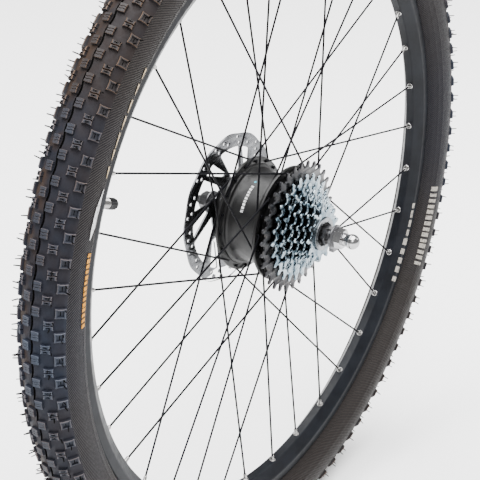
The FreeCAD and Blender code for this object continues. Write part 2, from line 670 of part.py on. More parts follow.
def make_freehub_insides():
    """Pawls held down in the ride-over position, two rows of balls, and the outboard seal."""
    core, bore = val("core_rad"), val("body_bore_rad")
    foot = core + 0.2
    outline = [(0, 0), (0, 9), (0, 18), (0, 27), (0.7, 27), (1.0, 13), (1.1, 0), (0, 0)]
    pawl_wire = Part.makePolygon([polar(foot + rise, -32.6, a) for rise, a in outline])
    pawl = Part.Face(pawl_wire).extrude(Vec(0, 4.2, 0))
    ball_rad = (bore - core) / 2 - 0.04
    rows = [Part.makeSphere(ball_rad, Vec((core + bore) / 2, y, 0)) for y in (-36.0, -55.0)]
    balls = [twin for ball in rows for twin in spread(ball, 24)]
    seal = tube("freehub_seal", "8.4", "12.1", "body_low+0.1", "-right_race_y-1.3")
    return [solid_part("freehub_pawls", Part.makeCompound(spread(pawl, 3, 7.0))),
            solid_part("freehub_balls", Part.makeCompound(balls)), seal]


COG_TEETH = (32, 26, 22, 19, 17, 15, 13)


def make_cluster():
    """Seven sprockets, the spacers between them and the lock ring that clamps them."""
    first, step = val("first_cog_y"), val("cog_step")
    half = val("cog_thick") / 2
    cogs = [make_cog(i, teeth) for i, teeth in enumerate(COG_TEETH)]
    spacers = []
    for i in range(len(COG_TEETH) - 1):
        top = first - i * step - half - 0.02
        bottom = first - (i + 1) * step + half + 0.02
        spacer = bar(20.0, bottom, top).cut(bar(val("cog_bore_rad"), bottom - 1, top + 1))
        spacers.append(spacer)
    face = first - (len(COG_TEETH) - 1) * step - half - 0.03
    lock = bar(17.0, face - 1.65, face).fuse(bar(val("body_bore_rad") - 0.1, face - 1.65, -57.6))
    lock = lock.removeSplitter().cut(bar(12.3, face - 3, -50))
    notch = Part.makeBox(1.7, 2.6, 1.4, Vec(11.8, face - 1.8, -0.7))
    lock = lock.cut(Part.makeCompound(spread(notch, 12)))
    return cogs + [solid_part("sprocket_spacers", Part.makeCompound(spacers)),
                   solid_part("cluster_lock_ring", lock)]


# ---------------------------------------------------------------- rim

def staggered(shape, count, phase):
    """Copies round the rim, set in turn to the right and to the left of its middle plane."""
    copies = spread(shape, count, phase)
    for k, twin in enumerate(copies):
        twin.translate(Vec(0, val("stagger") * (1 if k % 2 else -1), 0))
    return copies


def make_rim():
    """Double-walled rim with a hooked bead seat, drilled for spokes, nipple heads and valve."""
    bed, half, wide = "bed_rad", "bed_half", "rim_wide"

    def mirrored(points):
        return points + [(r, "-(%s)" % y) for r, y in reversed(points)]

    outside = mirrored([
        ("seat_rad-4.5", "3.6"), ("seat_rad-3.6", "5.0"), ("seat_rad", "7.0"),
        ("seat_rad-0.4", "rim_wide-1.9"), ("flange_top-2.6", "rim_wide-1.7"),
        ("flange_top-1.6", "rim_wide-2.2"), ("flange_top-0.4", "rim_wide-2.0"),
        ("flange_top", "rim_wide-1.2"), ("flange_top-0.3", "rim_wide-0.3"),
        ("flange_top-1.2", wide), ("wall_corner", wide), ("wall_corner-1.2", "rim_wide-0.4"),
        ("bed_rad+1.0", "bed_half+0.7"), (bed, half)])
    inside = mirrored([
        ("seat_rad-5.9", "3.2"), ("seat_rad-5.0", "5.6"), ("seat_rad-1.9", "7.6"),
        ("seat_rad-2.0", "rim_wide-2.2"), ("wall_corner-0.2", "rim_wide-1.6"),
        ("bed_rad+2.0", "bed_half-0.5")])
    rim = lathe("rim_blank", outside, inside)
    count = int(val("spoke_count"))
    low = val("bed_rad")
    phase = val("lace_phase") + 10.0
    bed_hole = Part.makeCylinder(val("nipple_hole_rad"), 4, Vec(low - 1, 0, 0), Vec(1, 0, 0))
    top_hole = Part.makeCylinder(4.4, 8, Vec(low + 8, 0, 0), Vec(1, 0, 0))
    valve = Part.makeCylinder(4.2, 30, Vec(low - 2, 0, 0), Vec(1, 0, 0))
    cuts = staggered(bed_hole, count, phase) + spread(top_hole, count, phase)
    cuts.append(turned_copy(valve, val("valve_angle")))
    shape = rim.Shape.cut(Part.makeCompound(cuts))
    feature = solid_part("rim", shape)
    doc.removeObject(rim.Name)
    lip = val("nipple_hole_rad")
    sleeve = [Vec(low - 0.55, 0, lip - 0.75), Vec(low + 1.8, 0, lip - 0.75),
              Vec(low + 1.8, 0, lip - 0.05), Vec(low - 0.03, 0, lip - 0.05),
              Vec(low - 0.03, 0, lip + 0.9), Vec(low - 0.35, 0, lip + 0.9)]
    eyelet = Part.Face(Part.makePolygon(sleeve + sleeve[:1])).revolve(ORIGIN, Vec(1, 0, 0), 360)
    eyelets = solid_part("nipple_eyelets", Part.makeCompound(staggered(eyelet, count, phase)))
    tape_low, tape_high = "seat_rad-4.45", "seat_rad-3.85"
    tape = tube("rim_tape_blank", tape_low, tape_high, "-3.4", "3.4")
    hole = turned_copy(valve, val("valve_angle"))
    tape_part = solid_part("rim_tape", tape.Shape.cut(hole))
    doc.removeObject(tape.Name)
    return [feature, eyelets, tape_part]


# ---------------------------------------------------------------- spokes and nipples

def spoke_path(hole_angle, rim_angle, flange_in, flange_out, side, outboard):
    """Corner points of a spoke: head, elbow beside the flange, and end in the nipple."""
    head_y, bend_y = flange_in - 0.9, flange_out + val("spoke_rad") + 1.25
    if not outboard:
        head_y, bend_y = flange_out + 0.9, flange_in - val("spoke_rad") - 0.2
    head = polar(val("hole_circle"), side * head_y, hole_angle)
    elbow = polar(val("hole_circle"), side * bend_y, hole_angle)
    aim = polar(val("bed_rad") + 0.6, side * val("stagger"), rim_angle)
    return head, elbow, aim + (aim - elbow).normalize() * 3.0


def make_spoke(head, elbow, end):
    """Wire of round section along the path, with a mushroom head and a bent elbow."""
    radius = val("spoke_rad")
    leg = 1.1
    first = (head - elbow).normalize()
    second = (end - elbow).normalize()
    middle = (first + second).normalize()
    half = first.getAngle(middle)
    apex = elbow + middle * (leg / math.cos(half) - leg * math.tan(half))
    start, stop = elbow + first * leg, elbow + second * leg
    wire = Part.Wire([Part.LineSegment(head, start).toShape(),
                      Part.Arc(start, apex, stop).toShape(),
                      Part.LineSegment(stop, end).toShape()])
    ring = Part.Wire([Part.Circle(head, first, radius).toShape()])
    shank = wire.makePipeShell([ring], True, False, 2)
    head_rad = val("spoke_head_rad")
    cap = Part.makeCone(radius, head_rad, 1.0, head - first * 0.6, first)
    dome = Part.makeCylinder(head_rad, 0.5, head + first * 0.4, first)
    return shank.fuse([cap, dome])


def make_nipple(elbow, end):
    """Nipple in line with its spoke: a shank outside the rim and a head inside it."""
    along = (end - elbow).normalize()
    top = end + along * 0.4
    back = along * -1
    shank = Part.makeCylinder(val("nipple_rad"), val("nipple_long"), top, back)
    head = Part.makeCylinder(val("nipple_head_rad"), 1.5, top, back)
    bore = Part.makeCylinder(val("spoke_rad") + 0.03, val("nipple_long") + 2, top + along, back)
    return shank.fuse(head).removeSplitter().cut(bore)


def make_lacing():
    """Two sets of 18 spokes laced three-cross, and their nipples."""
    phase = val("lace_phase")
    left_flange = (val("left_flange_in"), val("left_flange_out"), 1)
    right_flange = (val("right_flange_in"), val("right_flange_out"), -1)
    families = {"left_spokes": [(120.0, 60.0, False), (140.0, -60.0, True)],
                "right_spokes": [(130.0, 60.0, False), (150.0, -60.0, True)]}
    parts, nipples = [], []
    for label, pair in families.items():
        near, far, side = left_flange if label == "left_spokes" else right_flange
        spokes = []
        for rim_angle, offset, outboard in pair:
            rim_at = rim_angle + phase
            path = spoke_path(rim_at + offset, rim_at, near, far, side, outboard)
            spokes += spread(make_spoke(*path), 9)
            nipples += spread(make_nipple(*path[1:]), 9)
        parts.append(solid_part(label, Part.makeCompound(spokes)))
    parts.append(solid_part("spoke_nipples", Part.makeCompound(nipples)))
    return parts


# ---------------------------------------------------------------- tyre, tube and valve

def section_spot(radius, degrees):
    """Point of the tyre's section at a radius and angle about the section's centre."""
    angle = math.radians(degrees)
    return Vec(val("tyre_centre") + radius * math.cos(angle), radius * math.sin(angle), 0)


def casing_face():
    """Section of the tyre: a horseshoe with a bead at each foot."""
    outer, inner = val("tyre_rad"), val("tyre_rad-tyre_wall")
    seat, top = val("seat_rad"), val("flange_top")
    foot = [Vec(top + 0.5, 9.7, 0), Vec(seat + 3.5, 10.0, 0), Vec(seat + 0.15, 10.0, 0),
            Vec(seat + 0.15, 6.9, 0), Vec(seat + 1.5, 6.0, 0), Vec(top + 0.5, 7.6, 0)]
    other = [Vec(v.x, -v.y, 0) for v in reversed(foot)]
    crown = Part.Arc(section_spot(outer, -140), section_spot(outer, 0), section_spot(outer, 140))
    lining = Part.Arc(section_spot(inner, 143), section_spot(inner, 0), section_spot(inner, -143))
    left = [section_spot(outer, 140)] + foot + [section_spot(inner, 143)]
    right = [section_spot(inner, -143)] + other + [section_spot(outer, -140)]
    edges = [crown.toShape()] + Part.makePolygon(left).Edges + [lining.toShape()]
    return Part.Face(Part.Wire(edges + Part.makePolygon(right).Edges))


def knob(row_angle, width, length, high, turn):
    """Tapered tread block; width lies across the tyre and length round it."""
    base, tip = val("tyre_rad") - 0.6, val("tyre_rad") + high
    corners = []
    for radius, shrink in ((base, 1.0), (tip, 0.86)):
        half_wide = math.degrees(width / 2 * shrink / val("tyre_rad"))
        for across, along in ((-1, -1), (1, -1), (1, 1), (-1, 1)):
            spot = section_spot(radius, row_angle + across * half_wide)
            shift = math.degrees(length / 2 * shrink * along / spot.x)
            corners.append(polar(spot.x, spot.y, turn + shift))
    low, high_ring = corners[:4], corners[4:]
    loops = [low, high_ring] + [[low[i], low[(i + 1) % 4], high_ring[(i + 1) % 4], high_ring[i]]
                                for i in range(4)]
    faces = []
    for loop in loops:
        for triangle in (loop[:3], [loop[0], loop[2], loop[3]]):
            faces.append(Part.Face(Part.makePolygon(triangle + triangle[:1])))
    return Part.Solid(Part.makeShell(faces))


# Rows of tread blocks on one side of the crown: angle on the section, width, length.
TREAD_ROWS = ((9.0, 8.2, 9.2), (30.0, 9.6, 9.8), (51.0, 10.4, 10.2))


def make_tyre():
    """Tyre with six rows of blocks, the left three set half a pitch from the right three.

    One sector is made, then repeated round the wheel and sewn shut."""
    count = int(val("knob_count"))
    pitch = 360.0 / count
    start = -0.25 * pitch
    high = val("knob_high")
    sector = casing_face().revolve(ORIGIN, SPIN_AXIS, -pitch)
    sector = turned_copy(sector, start)
    blocks = []
    for place, (row, width, length) in enumerate(TREAD_ROWS):
        for side in (-1, 1):
            shifted = (place % 2 == 0) == (side > 0)
            blocks.append(knob(row * side, width, length, high, pitch / 2 if shifted else 0))
    sector = sector.fuse(blocks)
    faces = []
    for face in sector.Faces:
        spot = face.CenterOfMass
        angle = math.degrees(math.atan2(spot.z, spot.x))
        at_end = min(abs(angle - start), abs(angle - start - pitch)) < 1e-4
        if not (at_end and abs(face.normalAt(0, 0).y) < 1e-6):
            faces.append(face)
    skin = Part.makeCompound(faces)
    whole = Part.makeCompound(spread(skin, count, val("knob_phase")))
    whole.sewShape()
    shell = whole.Shells[0] if whole.Shells else Part.makeShell(whole.Faces)
    solid = Part.Solid(shell)
    if solid.Volume < 0:
        solid.reverse()
    return solid_part("tyre", solid)


def make_valve_and_tube():
    """Inner tube with its bonded valve stem and the stem's cap."""
    angle = val("valve_angle")
    out = Vec(1, 0, 0)

    def rod(radius, low, high):
        return Part.makeCylinder(radius, high - low, Vec(low, 0, 0), out)

    centre = val("tyre_centre") - 0.6
    tube_rad = val("tube_rad")
    hollow = Part.makeTorus(centre, tube_rad, ORIGIN, SPIN_AXIS).cut(
        Part.makeTorus(centre, tube_rad - val("tube_wall"), ORIGIN, SPIN_AXIS))
    tube_solid = turned_copy(hollow.cut(rod(3.82, 300, 330)), angle)
    bed = val("bed_rad")
    stem = rod(3.8, bed - 16, centre - tube_rad + 0.9).cut(rod(1.7, bed - 17, centre))
    thin_stem = stem.cut(rod(5, bed - 17, bed - 8.4).cut(rod(3.3, bed - 18, bed - 8)))
    cap = rod(4.3, bed - 17.6, bed - 8.5).cut(rod(3.35, bed - 16.4, bed - 8))
    return [solid_part("inner_tube", tube_solid),
            solid_part("valve_stem", turned_copy(thin_stem, angle)),
            solid_part("valve_cap", turned_copy(cap, angle))]


# ---------------------------------------------------------------- assembly and export

def make_all():
    """Every sub-part of the wheel, each an object with its own label."""
    parts = [make_axle()] + make_axle_fittings() + make_bearings() + make_motor()
    parts += make_gears() + make_shell() + make_screws() + [make_disc()]
    parts += make_freehub_core() + [make_freehub_body()] + make_freehub_insides()
    parts += make_cluster() + make_rim() + make_lacing() + [make_tyre()]
    return parts + make_valve_and_tube()


def check_all(parts):
    """Stop if any object failed to compute or any sub-part has a bad shape."""
    doc.recompute()
    for item in doc.Objects:
        for state in item.State:
            if state in ("Invalid", "Error"):
                raise RuntimeError("%s is %s" % (item.Label, state))
    for part in parts:
        if part.Shape.isNull() or not part.Shape.isValid():
            raise RuntimeError("bad shape in " + part.Label)
        if not part.Shape.Solids:
            raise RuntimeError("no solid in " + part.Label)


def export_all(parts):
    """Write each sub-part to its own STEP file."""
    os.makedirs("parts", exist_ok=True)
    for part in parts:
        part.Shape.exportStep("parts/%s.step" % part.Label)
        print(part.Label, len(part.Shape.Solids), "solids", round(part.Shape.Volume), "mm3")


all_parts = make_all()
check_all(all_parts)
export_all(all_parts)
print(len(all_parts), "nodes")
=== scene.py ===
import math
import random

import bmesh
import bpy
from mathutils import Matrix, Vector


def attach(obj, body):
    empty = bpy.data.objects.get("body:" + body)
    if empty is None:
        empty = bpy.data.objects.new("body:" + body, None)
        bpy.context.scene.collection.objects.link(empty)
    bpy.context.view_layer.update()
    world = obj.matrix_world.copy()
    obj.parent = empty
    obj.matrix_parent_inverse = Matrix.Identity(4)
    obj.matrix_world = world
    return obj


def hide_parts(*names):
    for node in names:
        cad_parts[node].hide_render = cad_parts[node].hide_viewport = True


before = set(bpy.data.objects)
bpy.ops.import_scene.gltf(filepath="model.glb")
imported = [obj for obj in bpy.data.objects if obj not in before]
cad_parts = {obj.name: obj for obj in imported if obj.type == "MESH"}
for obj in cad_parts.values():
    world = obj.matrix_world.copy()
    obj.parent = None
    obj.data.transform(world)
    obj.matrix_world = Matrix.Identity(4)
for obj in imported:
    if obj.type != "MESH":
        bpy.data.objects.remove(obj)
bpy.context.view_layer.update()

# The looks of the hub motor wheel. Lengths are in millimetres until MM turns them into metres.
# The wheel turns about Y; angles are counted in degrees from +X towards +Z.

MM = 0.001
CHANCE = random.Random(7)


# ------------ mesh helpers

def polar(radius, y, degrees):
    """Point at a radius and angle in the plane at height y along the axle."""
    angle = math.radians(degrees)
    return Vector((radius * math.cos(angle), y, radius * math.sin(angle)))


def flat(radius, degrees):
    """The same point as (x, z)."""
    spot = polar(radius, 0, degrees)
    return spot.x, spot.z


def bent(start, corner, end, steps):
    """Points along a curve that rounds a corner."""
    return [start * (1 - t) ** 2 + corner * 2 * t * (1 - t) + end * t ** 2
            for t in [k / steps for k in range(steps + 1)]]


def make_mesh(name, verts, faces, face_uvs=None, sharp=32.0, tones=None):
    """A mesh object from millimetre points, shaded smooth except across sharp edges.

    tones gives each face the number of its material."""
    mesh = bpy.data.meshes.new(name)
    mesh.from_pydata([(x * MM, y * MM, z * MM) for x, y, z in verts], [], faces)
    if face_uvs is not None:
        layer = mesh.uv_layers.new(name="UVMap")
        for polygon, spots in zip(mesh.polygons, face_uvs):
            for loop, spot in zip(polygon.loop_indices, spots):
                layer.data[loop].uv = spot
    if tones is not None:
        for polygon, tone in zip(mesh.polygons, tones):
            polygon.material_index = tone
    finish_mesh(mesh, sharp)
    return put(name, mesh)


def put(name, data):
    """A new object in the scene."""
    thing = bpy.data.objects.new(name, data)
    bpy.context.collection.objects.link(thing)
    return thing


def finish_mesh(mesh, sharp=32.0):
    """Point the faces outwards and mark the edges that stay sharp."""
    mesh.update()
    mesh.validate()
    work = bmesh.new()
    work.from_mesh(mesh)
    bmesh.ops.recalc_face_normals(work, faces=work.faces)
    limit = math.radians(sharp)
    for face in work.faces:
        face.smooth = True
    for edge in work.edges:
        edge.smooth = len(edge.link_faces) == 2 and edge.calc_face_angle(0.0) < limit
    work.to_mesh(mesh)
    work.free()


def dress(piece, body, finishes, node):
    """Give a piece its materials and its body, and hide the CAD node it stands for."""
    for finish in finishes.split():
        piece.data.materials.append(MATERIALS[finish])
    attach(piece, body)
    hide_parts(node)


def rounded(points, closed=True):
    """Round the corners of an outline of (radius, y, corner radius) points."""
    result = []
    count = len(points)
    for i, (r, y, fillet) in enumerate(points):
        here = Vector((r, y))
        if fillet <= 0 or (not closed and i in (0, count - 1)):
            result.append((r, y))
            continue
        before = Vector(points[i - 1][:2]) - here
        after = Vector(points[(i + 1) % count][:2]) - here
        reach = min(fillet / math.tan(before.angle(after) / 2), before.length * 0.48,
                    after.length * 0.48)
        start = here + before.normalized() * reach
        end = here + after.normalized() * reach
        result += [tuple(spot) for spot in bent(start, here, end, 5)]
    return result


def turned(name, lines, radius, sharp=32.0, tones=None):
    """A surface through closed outlines of (radius, y) set evenly round the axle.

    Its UVs are in millimetres, round the axle at the given radius and along the outline."""
    verts, faces, uvs = [], [], []
    count, size = len(lines), len(lines[0])
    girth = 2 * math.pi * radius / count
    for k, line in enumerate(lines):
        verts += [polar(r, y, 360.0 * k / count) for r, y in line]
        along = [0.0]
        for (r, y), (s, z) in zip(line, line[1:] + line[:1]):
            along.append(along[-1] + math.hypot(s - r, z - y))
        base, after = k * size, (k + 1) % count * size
        for i in range(size):
            j = (i + 1) % size
            faces.append((base + i, base + j, after + j, after + i))
            uvs.append([(k * girth, along[i]), (k * girth, along[i + 1]),
                        ((k + 1) * girth, along[i + 1]), ((k + 1) * girth, along[i])])
    return make_mesh(name, verts, faces, uvs, sharp, tones)


def lathe(name, profile, segments):
    """Turn a closed outline of (radius, y) about the axle."""
    return turned(name, [profile] * segments, max(r for r, y in profile))


def plate(name, outline, holes, low, high, bevel):
    """A flat plate across the axle from an outline and holes, with small edge bevels.

    Outline and holes are closed lists of (x, z)."""
    curve = bpy.data.curves.new(name, "CURVE")
    curve.dimensions = "2D"
    curve.fill_mode = "BOTH"
    for points in [outline] + holes:
        spline = curve.splines.new("POLY")
        spline.points.add(len(points) - 1)
        for spot, (x, z) in zip(spline.points, points):
            spot.co = (x * MM, z * MM, 0, 1)
        spline.use_cyclic_u = True
    half = (high - low) / 2
    curve.extrude = (half - bevel) * MM
    curve.bevel_depth = bevel * MM
    curve.bevel_resolution = 1
    curve.offset = -bevel * MM
    holder = put(name + "_curve", curve)
    bpy.context.view_layer.update()
    graph = bpy.context.evaluated_depsgraph_get()
    mesh = bpy.data.meshes.new_from_object(holder.evaluated_get(graph))
    bpy.data.objects.remove(holder)
    mesh.transform(Matrix.Rotation(math.radians(90), 4, "X"))
    mesh.transform(Matrix.Translation((0, (low + high) / 2 * MM, 0)))
    work = bmesh.new()
    work.from_mesh(mesh)
    bmesh.ops.remove_doubles(work, verts=work.verts, dist=1e-7)
    work.to_mesh(mesh)
    work.free()
    finish_mesh(mesh)
    mesh.name = name
    return put(name, mesh)


def circle(radius, count, x=0.0, z=0.0):
    """A closed circle of (x, z) points."""
    turns = [2 * math.pi * k / count for k in range(count)]
    return [(x + radius * math.cos(a), z + radius * math.sin(a)) for a in turns]


def join(parts):
    """Points and faces of several meshes as one list of each."""
    verts, faces = [], []
    for more, more_faces in parts:
        faces += [tuple(len(verts) + i for i in f) for f in more_faces]
        verts += [tuple(v) for v in more]
    return verts, faces


def copies(name, verts, faces, placements, sharp=32.0):
    """One mesh that holds a copy of a small mesh at each placement (4x4 matrix, in mm)."""
    parts = [([place @ Vector(v) for v in verts], faces) for place in placements]
    return make_mesh(name, *join(parts), sharp=sharp)


def strip(columns):
    """Points and faces of an open strip through columns of points."""
    size = len(columns[0])
    faces = [(i * size + k, i * size + k + 1, (i + 1) * size + k + 1, (i + 1) * size + k)
             for i in range(len(columns) - 1) for k in range(size - 1)]
    return [spot for column in columns for spot in column], faces


def ring_walls(rings, size, base=0):
    """Faces that join closed rings of so many points, each to the next."""
    faces = []
    for low in range(base, base + (rings - 1) * size, size):
        faces += [(low + k, low + (k + 1) % size, low + size + (k + 1) % size, low + size + k)
                  for k in range(size)]
    return faces


def stacked_rings(stations, segments, reach):
    """Points and faces of rings about +Y.

    A station is (height, two numbers), and reach turns those two, the angle and the point's
    number into a radius."""
    verts = []
    for height, *shape in stations:
        for k in range(segments):
            angle = 2 * math.pi * k / segments
            far = reach(angle, k, *shape)
            verts.append((far * math.cos(angle), height, far * math.sin(angle)))
    return verts, ring_walls(len(stations), segments)


def lathe_data(profile, segments):
    """Points and faces of a small mesh turned about +Y; a zero radius closes an end."""
    turns = [2 * math.pi * k / segments for k in range(segments)]
    verts = [(r * math.cos(a), h, r * math.sin(a)) for a in turns for r, h in profile]
    size = len(profile)
    faces = []
    for base in range(0, len(verts), size):
        after = (base + size) % len(verts)
        faces += [(base + i, base + i + 1, after + i + 1, after + i) for i in range(size - 1)]
    return verts, faces


def aim(origin, direction):
    """Matrix that carries local +Y to a direction and the local origin to a point."""
    turn = Vector((0, 1, 0)).rotation_difference(Vector(direction).normalized())
    return Matrix.Translation(origin) @ turn.to_matrix().to_4x4()


# ------------ materials

class Surface:
    """A node material under construction, with object coordinates in metres."""

    def __init__(self, name, metallic=0.0, specular=0.5, coat=0.0, coat_roughness=0.1, sheen=0.0):
        self.material = bpy.data.materials.new(name)
        self.material.use_nodes = True
        self.tree = self.material.node_tree
        self.shader = self.tree.nodes["Principled BSDF"]
        for key, value in (("Metallic", metallic), ("Specular IOR Level", specular),
                           ("Coat Weight", coat), ("Coat Roughness", coat_roughness),
                           ("Sheen Weight", sheen)):
            self.shader.inputs[key].default_value = value
        self.place = self.add("ShaderNodeTexCoord").outputs["Object"]
        self.height = None

    def add(self, kind, links=None, **settings):
        """A node with its properties set and its inputs given a value or linked."""
        node = self.tree.nodes.new(kind)
        for key, value in settings.items():
            setattr(node, key, value)
        for key, value in (links or {}).items():
            if isinstance(value, bpy.types.NodeSocket):
                self.tree.links.new(value, node.inputs[key])
            else:
                node.inputs[key].default_value = value
        return node

    def maths(self, operation, first, second=0.0):
        return self.add("ShaderNodeMath", {0: first, 1: second}, operation=operation).outputs[0]

    def noise(self, scale, detail=2.0, vector=None):
        """Smooth noise with so many spots to the metre."""
        node = self.add("ShaderNodeTexNoise", {"Vector": vector or self.place, "Scale": scale,
                                               "Detail": detail, "Roughness": 0.55})
        return node.outputs["Fac"]

    def radius(self):
        """Distance from the axle, in metres."""
        parts = self.add("ShaderNodeSeparateXYZ", {0: self.place})
        squares = [self.maths("MULTIPLY", parts.outputs[k], parts.outputs[k]) for k in ("X", "Z")]
        return self.maths("SQRT", self.maths("ADD", *squares))

    def ring_noise(self, scale):
        """Noise that only changes with the radius, like marks left by turning."""
        vector = self.add("ShaderNodeCombineXYZ", {"X": self.radius()}).outputs[0]
        return self.noise(scale, 3.0, vector)

    def remap(self, value, low, high, start=0.0, end=1.0):
        """Map a value from (low, high) onto (start, end), clamped."""
        links = {"Value": value, "From Min": low, "From Max": high, "To Min": start, "To Max": end}
        return self.add("ShaderNodeMapRange", links).outputs[0]

    def mix(self, factor, first, second):
        """Blend of two colours."""
        first, second = [tone if isinstance(tone, bpy.types.NodeSocket) else (*tone, 1.0)
                         for tone in (first, second)]
        links = {0: factor, 6: first, 7: second}
        return self.add("ShaderNodeMix", links, data_type="RGBA").outputs[2]

    def colour(self, socket):
        self.tree.links.new(socket, self.shader.inputs["Base Color"])

    def roughness(self, noise, low, high):
        spread = self.remap(noise, 0.3, 0.7, low, high)
        self.tree.links.new(spread, self.shader.inputs["Roughness"])

    def bump(self, height, strength, distance):
        """Add a layer of relief: strength 0 to 1, distance in millimetres."""
        links = {"Height": height, "Strength": strength, "Distance": distance * MM}
        if self.height is not None:
            links["Normal"] = self.height
        self.height = self.add("ShaderNodeBump", links).outputs[0]
        self.tree.links.new(self.height, self.shader.inputs["Normal"])


def paint(name, dark, light, rough, grain=0.25, **shader):
    """Painted or moulded surface: patchy tone, uneven gloss and a fine orange-peel relief."""
    surface = Surface(name, **shader)
    patches = surface.noise(38.0, 4.0)
    surface.colour(surface.mix(surface.remap(patches, 0.35, 0.65), dark, light))
    surface.roughness(surface.noise(160.0, 3.0), rough - 0.07, rough + 0.09)
    surface.bump(surface.noise(1100.0, 2.0), grain, 0.05)
    return surface.material


def metal(name, dark, light, rough, turned=False, grain=0.12, stain_and_shade_tint=None, **shader):
    """Bare or plated metal: cloudy tone, fine scratches, and turning marks where it was cut."""
    surface = Surface(name, metallic=1.0, **shader)
    clouds = surface.remap(surface.noise(70.0, 5.0), 0.35, 0.68)
    tone = surface.mix(clouds, dark, light)
    # Spots of a second tone: stains on the disc and black sprocket, painted teal shade on the
    # silver sprockets.
    if stain_and_shade_tint:
        spots = surface.remap(surface.noise(210.0, 4.0), 0.56, 0.68)
        tone = surface.mix(spots, tone, stain_and_shade_tint)
    surface.colour(tone)
    marks = surface.ring_noise(2600.0) if turned else surface.noise(1500.0, 4.0)
    surface.roughness(marks, max(rough - 0.08, 0.05), rough + 0.1)
    surface.bump(marks, grain, 0.03)
    return surface.material


def ribbed_rubber():
    """Sidewall rubber: slanting moulded ribs in UV millimetres, bluish in a band across the wheel
    and brownish above and below it.
    """
    surface = Surface("tyre_casing", specular=0.1)
    uv = surface.add("ShaderNodeTexCoord").outputs["UV"]
    ribs = []
    for turn, pitch in ((42.0, 1.9), (-42.0, 1.3)):
        links = {"Vector": uv, "Rotation": (0, 0, math.radians(turn))}
        turned = surface.add("ShaderNodeMapping", links).outputs[0]
        links = {"Vector": turned, "Scale": math.pi / 10 / pitch}
        ribs.append(surface.add("ShaderNodeTexWave", links).outputs["Fac"])
    weave = surface.maths("ADD", surface.maths("MULTIPLY", ribs[0], 0.85),
                          surface.maths("MULTIPLY", ribs[1], 0.15))
    parts = surface.add("ShaderNodeSeparateXYZ", {0: surface.place}).outputs
    tone = surface.mix(height_band_tint(surface, parts["Z"]), (0.004, 0.0055, 0.010),
                       (0.0065, 0.0055, 0.0055))
    surface.colour(surface.mix(surface.remap(weave, 0.4, 0.95, 0.0, 0.7), tone,
                               (0.034, 0.028, 0.025)))
    surface.roughness(surface.noise(300.0), 0.45, 0.6)
    surface.bump(weave, 0.9, 0.5)
    surface.bump(surface.noise(900.0, 3.0), 0.15, 0.08)
    return surface.material


def height_band_tint(surface, height):
    """Factor from 0 in a band across the wheel at one height to 1 above and below it, with cloudy
    edges.
    """
    away = surface.maths("ABSOLUTE", surface.maths("SUBTRACT", height, 0.03))
    cloudy = surface.maths("MULTIPLY", surface.noise(7.0, 5.0), 0.7)
    far = surface.maths("MULTIPLY", away, 1.9)
    return surface.remap(surface.maths("ADD", cloudy, far), 0.42, 0.72)


def tread_rubber(name, dark, light, dust_and_warm_tone, rough, far=0.1):
    """Knobbly rubber: blue-black and brownish in clouds, dusted brown in patches, and browner
    towards the brake side as painted warm light.
    """
    surface = Surface(name, specular=0.14)
    parts = surface.add("ShaderNodeSeparateXYZ", {0: surface.place}).outputs
    tone = surface.mix(height_band_tint(surface, parts["Z"]), dark, light)
    # Towards +Y, the brake side, the brown patches grow up to far: painted warm light falling on
    # that side.
    reach = surface.remap(parts["Y"], -0.002, 0.012, 0.1, far)
    dust_and_warm_light = surface.maths("MULTIPLY", surface.remap(surface.noise(60.0, 6.0), 0.38, 0.6), reach)
    surface.colour(surface.mix(dust_and_warm_light, tone, dust_and_warm_tone))
    surface.roughness(surface.noise(240.0, 3.0), rough, rough + 0.2)
    surface.bump(surface.noise(1300.0, 4.0), 0.3, 0.15)
    return surface.material


def print_ink(name, dark, light):
    """Printed mark: flat ink, slightly worn so that the rubber's tone shows in specks."""
    surface = Surface(name, specular=0.2)
    worn = surface.remap(surface.noise(420.0, 4.0), 0.36, 0.5)
    surface.colour(surface.mix(worn, dark, light))
    surface.roughness(surface.noise(200.0), 0.5, 0.65)
    surface.bump(surface.noise(900.0, 3.0), 0.2, 0.05)
    return surface.material


def lined_metal(name, scale, dark, light, gloss, relief, **shader):
    """Metal in fine lines across the axle: wound wire or stacked sheets.

    gloss is (scale, low, high) of the roughness and relief (strength, distance) of the lines."""
    surface = Surface(name, metallic=1.0, **shader)
    lines = surface.add("ShaderNodeTexWave", {"Vector": surface.place, "Scale": scale},
                        bands_direction="Y").outputs["Fac"]
    surface.colour(surface.mix(lines, dark, light))
    surface.roughness(surface.noise(gloss[0]), *gloss[1:])
    surface.bump(lines, *relief)
    return surface.material


def board():
    """Green circuit board with a faint pattern of paths under the lacquer."""
    surface = Surface("circuit_board", coat=0.5, coat_roughness=0.15)
    cells = surface.add("ShaderNodeTexVoronoi", {"Vector": surface.place, "Scale": 380.0},
                        feature="DISTANCE_TO_EDGE").outputs["Distance"]
    paths = surface.remap(cells, 0.04, 0.1)
    surface.colour(surface.mix(paths, (0.05, 0.26, 0.11), (0.01, 0.11, 0.05)))
    surface.roughness(surface.noise(200.0), 0.3, 0.45)
    surface.bump(paths, 0.3, 0.05)
    return surface.material


